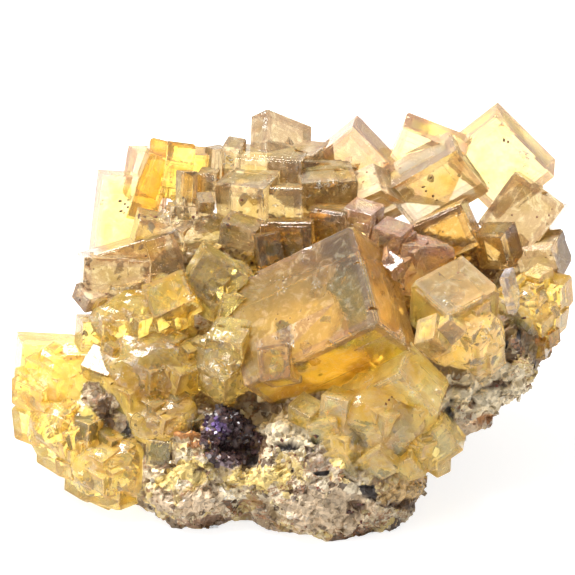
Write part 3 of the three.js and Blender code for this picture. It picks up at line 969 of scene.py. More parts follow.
def fluorite(name, pale, deep, zone, zone_mm, depth_colour, density, clear, frost, faces=None, corner=None):
    """Clear fluorite, pale to deep in clouds, with a coloured outer zone along each cube's edges; faces can
    get painted light and shade, one lighter or darker colour per face.
    """
    paint = Paint(name)
    near = paint.attribute("near")
    edge = paint.math("MINIMUM", paint.least(near), paint.least(paint.attribute("far")))
    wander = paint.noise(0.35, 3)
    wobble = paint.math("MULTIPLY", paint.math("SUBTRACT", wander, 0.5), zone_mm * 0.5)
    uneven = paint.math("ADD", edge, wobble)
    zone_mask = paint.ramp(uneven, zone_mm * 0.8, zone_mm * 1.15, 1.0, 0.0)
    inner_line = paint.math("MULTIPLY", zone_mask, paint.ramp(uneven, zone_mm * 0.6, zone_mm * 0.9))
    broad_cloud = paint.noise(0.13, 4, 0.55, 0.8)
    fine_cloud = paint.math("MULTIPLY", paint.noise(0.6, 5, 0.65, 1.0), 0.35)
    cloud = paint.ramp(paint.math("ADD", broad_cloud, fine_cloud), 0.52, 0.82)
    colour = paint.mix(cloud, deep, pale)
    # Painted light and shade: each face of a cube gets its own lighter or darker colour by its axis.
    if faces:
        cube = paint.add("ShaderNodeAttribute", {"attribute_name": "cube"})
        side = paint.add("ShaderNodeSeparateColor", Color=cube.outputs["Color"])
        for number, face_light_and_shade in enumerate(faces):
            ahead = paint.math("COMPARE", side.outputs["Green"], (number + 1) / 4)
            ahead.node.inputs[2].default_value = 0.05
            lighter = [min(1, 1.35 * c) for c in face_light_and_shade]
            colour = paint.mix(ahead, colour, paint.mix(cloud, face_light_and_shade, lighter))
            # Painted shade: the third face turns darker away from the cube's near corner.
            if corner and number == 2:
                along = paint.add("ShaderNodeSeparateXYZ", Vector=near)
                aside = paint.math("MULTIPLY", along.outputs["Y"], 0.6)
                reach = paint.math("SUBTRACT", along.outputs["X"], aside)
                reach = paint.math("ADD", reach, paint.math("MULTIPLY", wander, 7.0))
                far_face_shade_mask = paint.math("MULTIPLY", ahead, paint.ramp(reach, 5.0, 17.0))
                colour = paint.mix(far_face_shade_mask, colour, corner)
    colour = paint.mix(paint.math("MULTIPLY", zone_mask, 0.8), colour, zone)
    colour = paint.mix(paint.math("MULTIPLY", inner_line, 0.5), colour, [c * 0.6 for c in zone])
    streak = paint.ramp(paint.noise(0.42, 7, 0.68, 1.8), 0.5, 0.64, 0.0, 0.62)
    colour = paint.mix(streak, colour, (1.0, 0.93, 0.66))
    # A pale line along each cube's edges, broken up by noise: painted highlight, and rougher there like a
    # frosted chip.
    at_edge = paint.ramp(edge, 0.02, 0.09, 0.55, 0.0)
    edge_highlight_and_frost = paint.math("MULTIPLY", at_edge, paint.ramp(paint.noise(0.7, 5), 0.48, 0.6))
    colour = paint.mix(edge_highlight_and_frost, colour, (1.0, 0.95, 0.8))
    rough = paint.ramp(paint.noise(0.9, 5, 0.7), 0.4, 0.75, frost[0], frost[1])
    paint.surface(colour, paint.math("ADD", rough, paint.math("MULTIPLY", edge_highlight_and_frost, 0.3)))
    lines = paint.noise(2.4, 2, 0.5)
    steps = paint.math("SINE", paint.math("MULTIPLY", uneven, 7.0))
    relief = paint.math("ADD", paint.math("MULTIPLY", steps, 0.06), lines)
    paint.put(paint.shader.inputs["Normal"], paint.bump(relief, 0.03))
    paint.shader.inputs["Transmission Weight"].default_value = clear
    paint.shader.inputs["IOR"].default_value = FLUORITE_IOR
    depth = paint.add("ShaderNodeVolumeAbsorption")
    depth.inputs["Color"].default_value = (*depth_colour, 1)
    depth.inputs["Density"].default_value = density
    paint.put(paint.output.inputs["Volume"], depth.outputs["Volume"])
    return paint.material


# Painted light and shade per cube face: a lit, a middle and a shaded face colour, and a darker far part of
# the third face.
PLUM_FACE_LIGHT_AND_SHADE = ((0.96, 0.7, 0.12), (0.66, 0.46, 0.18), (0.47, 0.36, 0.13))
PLUM_FAR_FACE_SHADE = (0.31, 0.23, 0.155)
ROSE_FACE_LIGHT_AND_SHADE = ((1.0, 0.86, 0.36), (0.97, 0.78, 0.3), (0.55, 0.41, 0.21))
STONE_VALUES = {
    "yellow_fluorite": (
        (0.97, 0.88, 0.36), (0.86, 0.62, 0.11), (0.86, 0.66, 0.3), 0.5,
        (0.98, 0.83, 0.26), 95, 0.85, (0.05, 0.3),
    ),
    "butter_fluorite": (
        (1.0, 0.96, 0.52), (0.93, 0.66, 0.11), (0.88, 0.7, 0.34), 0.6,
        (1.0, 0.86, 0.32), 60, 0.8, (0.05, 0.3),
    ),
    "capped_fluorite": (
        (1.0, 0.94, 0.5), (0.97, 0.68, 0.15), (0.8, 0.6, 0.36), 0.8,
        (1.0, 0.86, 0.36), 55, 0.79, (0.05, 0.3), ROSE_FACE_LIGHT_AND_SHADE,
    ),
    "olive_fluorite": (
        (0.9, 0.8, 0.34), (0.7, 0.53, 0.12), (0.66, 0.5, 0.24), 0.6,
        (0.92, 0.8, 0.22), 105, 0.84, (0.05, 0.3),
    ),
    "amber_fluorite": (
        (1.0, 0.88, 0.32), (1.0, 0.74, 0.11), (0.6, 0.4, 0.12), 0.6,
        (1.0, 0.77, 0.15), 130, 0.9, (0.03, 0.2),
    ),
    "pale_fluorite": (
        (1.0, 0.94, 0.62), (1.0, 0.84, 0.28), (0.9, 0.6, 0.5), 1.2,
        (1.0, 0.87, 0.42), 80, 0.88, (0.03, 0.2),
    ),
    "cream_fluorite": (
        (0.92, 0.86, 0.74), (0.9, 0.72, 0.36), (0.68, 0.52, 0.4), 1.4,
        (1.0, 0.87, 0.55), 65, 0.82, (0.04, 0.25),
    ),
    "honey_fluorite": (
        (0.76, 0.62, 0.36), (0.56, 0.41, 0.14), (0.52, 0.37, 0.23), 0.9,
        (0.95, 0.82, 0.4), 85, 0.81, (0.05, 0.3),
    ),
    "tan_fluorite": (
        (0.57, 0.42, 0.25), (0.46, 0.33, 0.13), (0.44, 0.29, 0.19), 1.0,
        (0.96, 0.84, 0.45), 70, 0.76, (0.05, 0.3),
    ),
    "rose_fluorite": (
        (0.78, 0.58, 0.43), (0.82, 0.6, 0.24), (0.66, 0.42, 0.35), 1.1,
        (0.97, 0.86, 0.45), 75, 0.8, (0.04, 0.25),
    ),
    "plum_fluorite": (
        (0.88, 0.74, 0.36), (0.76, 0.56, 0.15), (0.5, 0.37, 0.26), 1.0,
        (0.93, 0.78, 0.3), 90, 0.84, (0.04, 0.25),
        PLUM_FACE_LIGHT_AND_SHADE, PLUM_FAR_FACE_SHADE,
    ),
    "smoky_fluorite": (
        (0.76, 0.54, 0.2), (0.6, 0.4, 0.1), (0.44, 0.31, 0.17), 1.1,
        (0.85, 0.64, 0.16), 130, 0.88, (0.05, 0.3),
    ),
    "clear_quartz": (
        (0.97, 0.95, 0.95), (0.86, 0.8, 0.8), (0.8, 0.74, 0.78), 0.6,
        (0.95, 0.92, 0.9), 20, 0.9, (0.05, 0.3),
    ),
}
STONES = {name: fluorite(name, *values) for name, values in STONE_VALUES.items()}
print("finishes:", list(STONES))

# %% Which clump has which finish
FINISH_OF_CLUMP = {
    "big_front_cube": "plum_fluorite",
    "ridge_block": "cream_fluorite",
    "dark_framed_cube": "smoky_fluorite",
    "right_front_cube": "capped_fluorite",
    "small_middle_cubes": "rose_fluorite",
    "lower_right_cubes": "butter_fluorite",
    "left_block": "tan_fluorite",
    "left_yellow_cubes": "yellow_fluorite",
    "left_olive_cube": "olive_fluorite",
    "amber_prism": "amber_fluorite",
    "pale_left_cube": "pale_fluorite",
    "small_left_columns": "honey_fluorite",
    "centre_mass": "honey_fluorite",
    "druse_block": "honey_fluorite",
    "dark_middle_cube": "smoky_fluorite",
    "top_tan_cube": "tan_fluorite",
    "back_pointed_cube": "rose_fluorite",
    "back_banded_cube": "pale_fluorite",
    "top_right_cube": "pale_fluorite",
    "right_tan_cube": "tan_fluorite",
    "right_edge_cubes": "yellow_fluorite",
    "quartz_sliver": "clear_quartz",
    "left_tip_cubes": "yellow_fluorite",
    "middle_left_cubes": "olive_fluorite",
    "low_front_cubes": "olive_fluorite",
}
for name, clump in clumps.items():
    clump.data.materials.append(STONES[FINISH_OF_CLUMP[name]])
    clump.data.transform(Matrix.Scale(MM, 4))
    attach(clump, "root")
    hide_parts(name)
print("clumps dressed:", len(clumps))

# %% [markdown]
# ## The rock
# The rock is a heap of rough lumps like the solid's. Joined and remeshed to even faces of half a
# millimetre, it can take a real relief: broad lumps, sharp ridges and pits from several noises. That
# shows in the outline and under raking light, which a bump map never does.

# %% The rock's lumps
ROCK_LUMPS = [
    ((0, -1, 13), (32, 16, 14.5)),
    ((6, -19, 5), (16, 12.5, 13)),
    ((-13.5, -17.5, 5), (12, 11, 12)),
    ((22, -9, 15), (13, 10, 9.5)),
    ((31, -5, 17.5), (9.5, 9, 7.5)),
    ((34, -1, 21), (9, 9, 7)),
    ((-25, -9, 12), (12, 10, 10)),
    ((-31, -4, 14), (8, 8, 6)),
    ((0, 12, 12), (29, 13, 15)),
    ((22, 9, 19), (16, 13, 14)),
    ((2, 10, 24), (27, 12, 11)),
    ((15.5, -17, 4.5), (7.5, 6.5, 6)),
]
ROCK_FACE = 0.5


def rough_lump(middle, half, detail):
    """A ball stretched to its half-widths, with the solid's own waves on it."""
    shape = bmesh.new()
    bmesh.ops.create_icosphere(shape, subdivisions=detail, radius=1)
    for vertex in shape.verts:
        outward = vertex.co.copy()
        surface = Vector([vertex.co[k] * half[k] + middle[k] for k in range(3)])
        vertex.co = surface + outward * waves(surface) + TO_BOX_MIDDLE
    return bench_object(shape, "lump")


lumps = [rough_lump(middle, half, 4) for middle, half in ROCK_LUMPS]
rock = combine(lumps[0], ("UNION", lumps[1:]))
even = rock.modifiers.new("even", "REMESH")
even.mode = "VOXEL"
even.voxel_size = ROCK_FACE
combine(rock)
print("rock faces:", len(rock.data.polygons))

# %% [markdown]
# Under the crystals the rock turns into pale massive fluorite, which is why they glow: light goes down
# through the cube, meets something bright and comes back. Each point of the rock gets its nearness to
# the crystals, measured against their real surfaces. There the rock is also smoother.

# %% How near the rock is to the crystals
ROOT_REACH = 2.2


def nearness(points):
    """1 inside or at a crystal, falling to 0 at ROOT_REACH millimetres away."""
    near = np.zeros(len(points))
    for name, tree in stone_trees.items():
        low, high = stone_boxes[name][0] - ROOT_REACH, stone_boxes[name][1] + ROOT_REACH
        for i in np.nonzero(((points > low) & (points < high)).all(1) & (near < 1))[0]:
            surface, normal, _, away = tree.find_nearest(Vector(points[i]), ROOT_REACH * 3)
            if surface is None:
                continue
            inside = (Vector(points[i]) - surface).dot(normal) < 0
            near[i] = 1 if inside else max(near[i], 1 - away / ROOT_REACH)
    return near


rock_points = np.array([list(v.co) for v in rock.data.vertices])
root_values = nearness(rock_points)
print("share of the rock under crystals:", round(float((root_values > 0.99).mean()), 2))

# %% [markdown]
# The rock isn't one stone. Seen from the front it has a black hole, a rust seam, an iron-brown foot, a
# layered ochre corner and grey quartz, and these are placed one by one, as spots in the picture: the
# middle and half-widths in pixels, and how far the place is sunk, in millimetres. The brown spots up
# among the crystals are painted shade: they darken the rock seen in the gaps between the cubes. The
# black spots are sunk pits painted near-black, partly as painted shade in the hollow.

# %% Patches of the rock
ROCK_COLOURS = {
    "black": (0.022, 0.014, 0.01),
    "brown": (0.11, 0.058, 0.024),
    "rust": (0.4, 0.17, 0.045),
    "iron": (0.22, 0.12, 0.06),
    "grey": (0.52, 0.39, 0.25),
    "pale": (0.72, 0.6, 0.4),
    "ochre": (0.52, 0.34, 0.14),
    "yellow": (0.64, 0.47, 0.16),
    "mauve": (0.34, 0.25, 0.27),
}
# Brown spots among the crystals are painted shade in the gaps between cubes; black spots are sunk pits,
# painted near-black partly as shade in the hollow.
PATCHES = [
    ("pale", 490, 395, 50, 30, 0), ("black", 193, 422, 9, 12, 2.5), ("brown", 240, 440, 20, 14, 0.6),
    ("mauve", 234, 459, 12, 9, -0.5), ("rust", 184, 432, 13, 3, -0.8), ("rust", 200, 442, 12, 3, -1.0),
    ("rust", 215, 453, 10, 3, -1.0), ("grey", 205, 503, 26, 16, 0), ("grey", 330, 510, 42, 24, 0),
    ("grey", 160, 500, 14, 12, 0.2), ("iron", 210, 526, 24, 8, 0), ("ochre", 414, 490, 28, 20, 0),
    ("rust", 486, 424, 12, 7, 0), ("rust", 549, 342, 13, 9, 0), ("black", 450, 415, 5, 13, 0.5),
    ("brown", 458, 385, 8, 5, 0.4), ("black", 504, 339, 5, 9, 0.8), ("black", 518, 335, 3, 6, 0.6),
    ("grey", 470, 440, 30, 14, 0), ("brown", 475, 400, 3, 12, 0.4), ("brown", 500, 385, 12, 5, 0.4),
    ("black", 368, 490, 10, 8, 0.5), ("brown", 356, 508, 9, 8, 0.5), ("yellow", 190, 470, 22, 13, 0),
    ("yellow", 262, 475, 30, 11, -0.6), ("yellow", 165, 478, 12, 10, 0), ("pale", 296, 427, 34, 20, -0.6),
    ("black", 284, 444, 12, 4, 0.4), ("black", 316, 437, 6, 4, 0.8), ("yellow", 350, 455, 22, 9, 0),
    ("brown", 185, 333, 16, 9, 0), ("brown", 164, 271, 14, 19, 0), ("brown", 106, 417, 7, 24, 0),
    ("brown", 80, 425, 16, 14, 0), ("brown", 160, 450, 10, 12, 0), ("brown", 357, 431, 10, 10, 0),
    ("brown", 362, 440, 5, 4, 0), ("brown", 470, 356, 9, 5, 0), ("brown", 285, 245, 26, 18, 0),
    ("brown", 155, 226, 16, 10, 0), ("black", 126, 432, 6, 9, 0.5), ("brown", 395, 215, 45, 22, 0),
    ("brown", 490, 255, 18, 20, 0), ("brown", 420, 330, 14, 24, 0), ("grey", 215, 370, 18, 26, 0),
    ("black", 252, 456, 5, 4, 0.6), ("brown", 410, 505, 24, 5, 0.3), ("pale", 235, 495, 12, 8, -0.3),
    ("brown", 255, 440, 8, 14, 0.4), ("brown", 205, 470, 12, 3, 0.4), ("brown", 290, 488, 16, 4, 0.4),
    ("black", 320, 470, 8, 3, 0.5), ("brown", 385, 470, 10, 4, 0.4),
]
PATCH_WOBBLE = 0.55


def picture_place(points):
    """The pixel at which each point shows, seen from the front."""
    local = points - np.array(DISPLAY_MIDDLE)
    x = PICTURE_MIDDLE + PIXELS_PER_MM * (local @ np.array(ACROSS))
    return x, PICTURE_MIDDLE - PIXELS_PER_MM * (local @ np.array(UP))


rock_normals = np.array([list(v.normal) for v in rock.data.vertices])
ahead = np.clip(2 * rock_normals @ np.array(OUT) + 0.6, 0, 1)
wobble = np.array([noise.noise(Vector(p) * 0.5) + noise.noise(Vector(p) * 1.5) for p in rock_points])
wobble *= PATCH_WOBBLE
rock_x, rock_y = picture_place(rock_points)
patch_paint = np.zeros((len(rock_points), 4), np.float32)
sunk = np.zeros(len(rock_points))
for colour_name, x, y, half_width, half_height, depth in PATCHES:
    away = np.hypot((rock_x - x) / half_width, (rock_y - y) / half_height) + wobble
    share = np.clip((1.2 - away) / 0.45, 0, 1) * ahead
    colour = np.array(ROCK_COLOURS[colour_name])
    patch_paint[:, :3] = patch_paint[:, :3] * (1 - share[:, None]) + colour * share[:, None]
    patch_paint[:, 3] = np.maximum(patch_paint[:, 3], share)
    sunk = sunk * (1 - share) + depth * share
patch_paint[:, :3] /= np.maximum(patch_paint[:, 3:], 0.05)
print("patches:", len(PATCHES))

# %% [markdown]
# Broken quartz is a pack of grains: each shows a flat facet with its own tilt, with a crack around it.
# Two sizes of such grains are laid over broad swells, then the foot is pressed flat.

# %% The rock's relief
BIG_GRAINS_PER_MM = 0.27
SMALL_GRAINS_PER_MM = 0.75
SMOOTH_FROM = 0.7
SMOOTH_SPAN = 0.3
SMOOTHING = 0.85
RELIEF_SUNK = 0.45
# Noise vectors take their seed from the clock unless one is set, and the rock would change each run.
NOISE_SEED = 5
noise.seed_set(NOISE_SEED)


def grain_relief(p, per_mm):
    """Tilted facets with cracks between them, about -1 to 1."""
    place = p * per_mm
    distances, middles = noise.voronoi(place)
    tilt = noise.noise_vector(middles[0] * 3.7)
    crack = max(0, 1 - (distances[1] - distances[0]) * 4)
    return 1.6 * (place - middles[0]).dot(tilt) + 0.8 * noise.noise(middles[0] * 5.1) - 0.6 * crack


def rock_relief(p, root):
    """How far the rock stands in or out at a point, in millimetres."""
    broad = noise.fractal(p * 0.12, 1.0, 2.0, 3) * 0.8
    ridges = noise.ridged_multi_fractal(p * 0.33, 0.9, 2.1, 4, 1.0, 2.0) * 0.35 - 0.45
    grains = 0.75 * grain_relief(p, BIG_GRAINS_PER_MM) + 0.35 * grain_relief(p, SMALL_GRAINS_PER_MM)
    smooth = SMOOTHING * max(0, (root - SMOOTH_FROM) / SMOOTH_SPAN)
    return (broad + ridges + grains) * (1 - smooth) - RELIEF_SUNK


for vertex, normal, root, depth in zip(rock.data.vertices, rock_normals, root_values, sunk):
    p = Vector(vertex.co) + Vector(normal) * (rock_relief(vertex.co, root) - depth)
    vertex.co = (p.x, p.y, max(0, p.z))
to_scene(rock, "rock")
rock_points = np.array([list(v.co) for v in rock.data.vertices])
rock.data.attributes.new("root", "FLOAT", "POINT").data.foreach_set("value", root_values.astype(np.float32))
rock.data.attributes.new("patch", "FLOAT_COLOR", "POINT").data.foreach_set("color", patch_paint.ravel())
print("rock points:", len(rock_points))

# %% [markdown]
# The stone between the patches is a mix of clear yellow grains, beige quartz and dark grains, stained
# with rust along its cracks. Two sizes of cells choose between the colours, so that each grain keeps
# one colour, as in the real stone.

# %% Rock finish
paint = Paint("quartz_rock")
pushed = paint.moved(0.8, 1.6)
grain = paint.noise(1.3, 6, 0.7, 0.3)
big_cell = paint.cells(0.4, pushed)
small_cell = paint.cells(1.3, pushed)
colour = paint.mix(paint.ramp(big_cell, 0.12, 0.3), (0.1, 0.06, 0.03), (0.44, 0.33, 0.19))
colour = paint.mix(paint.ramp(big_cell, 0.48, 0.56), colour, (0.54, 0.4, 0.15))
colour = paint.mix(paint.ramp(big_cell, 0.76, 0.84), colour, (0.58, 0.48, 0.33))
colour = paint.mix(paint.ramp(small_cell, 0.76, 0.84, 0.0, 0.6), colour, (0.64, 0.55, 0.38))
colour = paint.mix(paint.ramp(small_cell, 0.12, 0.2, 0.7, 0.0), colour, (0.12, 0.075, 0.04))
zones = paint.noise(0.06, 4, 0.55, 0.6)
colour = paint.mix(paint.ramp(zones, 0.44, 0.36, 0.0, 0.7), colour, (0.28, 0.2, 0.12), "MULTIPLY")
colour = paint.mix(paint.ramp(zones, 0.54, 0.64, 0.0, 0.55), colour, (0.44, 0.38, 0.33))
vein = paint.math("ABSOLUTE", paint.math("SUBTRACT", paint.noise(0.16, 6, 0.65, 0.8), 0.5))
colour = paint.mix(paint.ramp(vein, 0.004, 0.02, 0.9, 0.0), colour, (0.26, 0.11, 0.04))
patch = paint.add("ShaderNodeAttribute", {"attribute_name": "patch"})
uneven = paint.math("MULTIPLY", paint.math("SUBTRACT", grain, 0.5), 0.7)
patch_mask = paint.ramp(paint.math("ADD", patch.outputs["Alpha"], uneven), 0.35, 0.6)
brightness = paint.ramp(small_cell, 0.0, 1.0, 0.55, 1.3, smooth=False)
shades = paint.add("ShaderNodeCombineColor", Red=brightness, Green=brightness, Blue=brightness)
patch_colour = paint.mix(1.0, patch.outputs["Color"], shades.outputs["Color"], "MULTIPLY")
root = paint.add("ShaderNodeAttribute", {"attribute_name": "root"}).outputs["Fac"]
depth = paint.noise(0.13, 3, 0.5, 0.3)
root_colour = paint.mix(paint.ramp(depth, 0.38, 0.54), (0.5, 0.3, 0.1), (1.0, 0.84, 0.48))
root_colour = paint.mix(paint.ramp(grain, 0.56, 0.7, 0.0, 0.6), root_colour, (1.0, 0.94, 0.7))
# Painted shade: the rock near the crystals, up to where it runs under them, is painted darker where they meet
# it, broken up by the grain noise.
contact_shade = paint.math("MULTIPLY", paint.ramp(root, 0.2, 0.6), paint.ramp(grain, 0.4, 0.6, 0.8, 0.2))
colour = paint.mix(contact_shade, colour, (0.2, 0.12, 0.05))
colour = paint.mix(paint.ramp(root, 0.9, 1.0), colour, root_colour)
colour = paint.mix(patch_mask, colour, patch_colour)
paint.surface(colour, paint.ramp(grain, 0.3, 0.7, 0.65, 0.25))
paint.put(paint.shader.inputs["Normal"], paint.bump(paint.noise(3.5, 4, 0.7), 0.12))
rock.data.materials.append(paint.material)
rock.data.transform(Matrix.Scale(MM, 4))
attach(rock, "root")
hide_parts("rock_matrix")
print("rock dressed")

# %% [markdown]
# ## Chips
# Loose quartz grains, splinters and the small violet cubes of the nodule are all angular chips in great
# number. A few chips are shaped once, and one function sets copies of them at given places, turned and
# stretched, each with its own colour, as one joined mesh.

# %% Shapes and placing of chips


def rough_chip(chance, points=9):
    """Corners and faces of one angular chip, about 2 mm across."""
    shape = bmesh.new()
    for _ in range(points):
        way = Vector([2 * next(chance) - 1 for _ in range(3)]).normalized()
        shape.verts.new(way * (0.7 + 0.3 * next(chance)))
    bmesh.ops.convex_hull(shape, input=shape.verts)
    bmesh.ops.delete(shape, geom=[v for v in shape.verts if not v.link_faces], context="VERTS")
    bmesh.ops.recalc_face_normals(shape, faces=shape.faces)
    shape.verts.index_update()
    chip = [v.co.copy() for v in shape.verts], [[v.index for v in f.verts] for f in shape.faces]
    shape.free()
    return chip


def cube_chip():
    """Corners and faces of a cube, 2 mm across."""
    corners = [Vector((x, y, z)) for z in (-1, 1) for y in (-1, 1) for x in (-1, 1)]
    faces = [(0, 2, 3, 1), (4, 5, 7, 6), (0, 1, 5, 4), (2, 6, 7, 3), (0, 4, 6, 2), (1, 3, 7, 5)]
    return corners, faces


def set_chips(name, chips, places, material):
    """One joined mesh of chips; each place is (middle, turn, half sizes, colour), in millimetres."""
    corners, faces, colours = [], [], []
    for i, (middle, turn, sizes, colour) in enumerate(places):
        chip_corners, chip_faces = chips[i % len(chips)]
        first = len(corners)
        for corner in chip_corners:
            stretched = Vector([corner[k] * sizes[k] for k in range(3)])
            corners.append((middle + turn @ stretched) * MM)
            colours.append((*colour, 1))
        faces += [[first + j for j in face] for face in chip_faces]
    mesh = bpy.data.meshes.new(name)
    mesh.from_pydata(corners, [], faces)
    tint = mesh.attributes.new("chip", "FLOAT_COLOR", "POINT")
    tint.data.foreach_set("color", np.array(colours, np.float32).ravel())
    mesh.materials.append(material)
    piece = bpy.data.objects.new(name, mesh)
    scene.collection.objects.link(piece)
    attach(piece, "root")
    return piece


def any_turn(chance):
    """A turn about a chance axis."""
    axis = Vector([2 * next(chance) - 1 for _ in range(3)]).normalized()
    return Matrix.Rotation(2 * math.pi * next(chance), 3, axis)


chance = chance_numbers(909)
CHIPS = [rough_chip(chance) for _ in range(12)]
print("chip faces:", [len(faces) for _, faces in CHIPS])

# %% Quartz grains on the rock
GRAIN_COUNT = 2600
GRAIN_COLOURS = [
    (0.72, 0.64, 0.5), (0.6, 0.48, 0.24), (0.66, 0.54, 0.3), (0.4, 0.32, 0.22), (0.16, 0.1, 0.06),
    (0.3, 0.14, 0.06),
]
paint = Paint("quartz_grain")
own = paint.add("ShaderNodeAttribute", {"attribute_name": "chip"}).outputs["Color"]
shade = paint.noise(0.9, 4, 0.6)
mottled = paint.mix(paint.ramp(shade, 0.3, 0.7, 0.0, 0.45), own, (0.16, 0.1, 0.05))
paint.surface(mottled, paint.ramp(shade, 0.3, 0.7, 0.2, 0.5))
paint.shader.inputs["Transmission Weight"].default_value = 0.25
paint.shader.inputs["IOR"].default_value = 1.5
grain_material = paint.material
bare = np.nonzero((root_values < 0.45) & (rock_points[:, 2] > 0.8) & (sunk < 0.4))[0]
places = []
for _ in range(GRAIN_COUNT):
    i = int(bare[int(next(chance) * len(bare))])
    radius = 0.18 + 0.6 * next(chance) ** 2.5
    colour = GRAIN_COLOURS[int(next(chance) ** 1.3 * len(GRAIN_COLOURS))]
    if patch_paint[i, 3] > 0.5:
        colour = [0.5 * a + 0.5 * float(b) for a, b in zip(colour, patch_paint[i])]
    middle = Vector(rock_points[i]) + Vector(rock_normals[i]) * radius * 0.1
    sizes = [radius * (0.7 + 0.6 * next(chance)) for _ in range(3)]
    places.append((middle, any_turn(chance), sizes, colour))
set_chips("quartz_grains", CHIPS, places, grain_material)
print("quartz grains:", len(places))

# %% [markdown]
# ## The violet nodule
# The dark patch left of the rock's middle is a nodule of granular fluorite: a brown-black lump, crowded
# with tiny cubes that are bright violet on one side and nearly black elsewhere.

# %% Violet nodule
NODULE_MIDDLE = Vector((-10.4, -18.5, 15))
nodule = rough_lump((-9.5, -20.5, 15), (4, 4, 4.5), 4)
for vertex in nodule.data.vertices:
    p = vertex.co.copy()
    outward = (p - NODULE_MIDDLE).normalized()
    knobs = 1.1 * noise.noise(p * 0.4) + 0.5 * grain_relief(p, 0.9)
    vertex.co = p + outward * (knobs - 0.7 - 1.9 * max(0, outward.dot(OUT)))
to_scene(nodule, "violet_nodule")
nodule_points = [v.co.copy() for v in nodule.data.vertices]
paint = Paint("violet_fluorite")
mottled = paint.mix(paint.ramp(paint.noise(0.8, 5), 0.4, 0.6), (0.02, 0.012, 0.016), (0.09, 0.055, 0.05))
paint.surface(mottled, paint.ramp(paint.noise(1.6, 5), 0.3, 0.7, 0.5, 0.2))
nodule.data.materials.append(paint.material)
nodule.data.transform(Matrix.Scale(MM, 4))
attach(nodule, "root")
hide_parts("purple_nodule")
paint = Paint("violet_cubes")
own = paint.add("ShaderNodeAttribute", {"attribute_name": "chip"}).outputs["Color"]
mottled = paint.mix(paint.ramp(paint.noise(2, 3), 0.3, 0.7, 0, 0.4), own, (0.02, 0.012, 0.02))
paint.surface(mottled, paint.ramp(paint.noise(2), 0.3, 0.7, 0.12, 0.4))
paint.shader.inputs["Transmission Weight"].default_value = 0.2
BRIGHT_VIOLET = (216, 427)
NODULE_CUBES = 420
DARK_CHIPS = 260
DARK_SPOT = (230, 438)
DARK_REACH = 27
CHIP_HEIGHT = 1.0  # mm above the floor, so that no chip reaches through it
places = []
for _ in range(NODULE_CUBES):
    i = int(next(chance) * len(nodule_points))
    x, y = picture_place(np.array([list(nodule_points[i])]))
    away = math.hypot((x[0] - BRIGHT_VIOLET[0]) / 11, (y[0] - BRIGHT_VIOLET[1]) / 10)
    violet = max(0, min(1, 1.4 - away)) * (0.35 + 0.65 * next(chance))
    colour = [0.045 + 0.2 * violet, 0.022 + 0.13 * violet, 0.022 + 0.4 * violet]
    size = 0.1 + 0.26 * next(chance)
    places.append((nodule_points[i], any_turn(chance), [size] * 3, colour))
beside = np.hypot(rock_x - DARK_SPOT[0], rock_y - DARK_SPOT[1]) < DARK_REACH
near_nodule = beside & (ahead > 0.6) & (root_values < 0.6)
around = np.nonzero(near_nodule & (rock_points[:, 2] > CHIP_HEIGHT))[0]
for _ in range(DARK_CHIPS):
    i = int(around[int(next(chance) * len(around))])
    dark = 0.3 + 0.7 * next(chance)
    colour = [0.14 * dark, 0.075 * dark, 0.07 * dark]
    size = 0.14 + 0.3 * next(chance)
    places.append((Vector(rock_points[i]), any_turn(chance), [size] * 3, colour))
set_chips("violet_cubes", [cube_chip()], places, paint.material)
print("nodule dressed, with", len(places), "small cubes")

# %% [markdown]
# ## Ore specks
# Dark red-brown specks of ore sit on the faces and just under them. Each is a small rough lump, half
# sunk into the stone. Its place is found by looking through its spot in the picture and taking the
# first stone surface that the line of sight meets, so that it sits on something from any side.

# %% Specks
SPECKS = [
    (120, 201, 4), (125, 204, 3), (128, 200, 2.5), (128, 207, 3), (121, 211, 3.5), (124, 213, 2.5),
    (139, 216, 5.5), (145, 217, 4), (155, 217, 5.5), (151, 215, 3.5), (171, 177, 2), (171, 182, 2),
    (174, 175, 1.5), (183, 198, 2.5), (161, 205, 2), (193, 217, 4), (197, 213, 2.5), (210, 151, 2),
    (205, 185, 2), (242, 200, 4), (219, 214, 2.5), (222, 216, 2), (229, 219, 3.5), (228, 225, 4.5),
    (216, 211, 2), (252, 263, 4), (80, 300, 3.5), (106, 294, 3.5), (90, 269, 2), (146, 256, 2.5),
    (83, 334, 3), (280, 322, 3), (284, 326, 2), (276, 319, 2), (290, 318, 2), (423, 187, 4),
    (426, 191, 3), (431, 178, 3.5), (433, 196, 3.5), (437, 200, 2.5), (367, 172, 2.5), (363, 182, 2.5),
    (400, 168, 2), (504, 140, 4), (508, 142, 3), (512, 215, 2.5), (537, 217, 2.5), (549, 215, 2.5),
    (552, 209, 2), (510, 230, 2.5), (440, 275, 2.5), (458, 273, 2.5), (463, 255, 3), (478, 264, 3),
    (497, 290, 2), (388, 269, 2.5), (399, 280, 3), (404, 289, 3), (395, 296, 2.5), (409, 266, 2.5),
    (386, 404, 3), (389, 400, 3), (392, 397, 2.5), (21, 387, 2.5), (64, 359, 2), (71, 359, 2),
    (377, 221, 6), (524, 318, 4), (282, 440, 6), (271, 453, 6), (295, 455, 4), (316, 436, 6),
    (318, 488, 5), (350, 512, 8), (360, 504, 7), (361, 522, 4), (148, 519, 5), (497, 386, 4),
    (277, 447, 4), (305, 447, 3),
]


def seen_from_camera(x, y, trees):
    """The first surface on the line of sight through a pixel: place and normal, in millimetres."""
    across, up = from_pixel(x, y)
    way = (display_point(across, up, 0) - camera_place).normalized()
    hits = [tree.ray_cast(camera_place, way) for tree in trees]
    hits = [hit for hit in hits if hit[0] is not None]
    return min(hits, key=lambda hit: hit[3])[:2] if hits else (None, None)


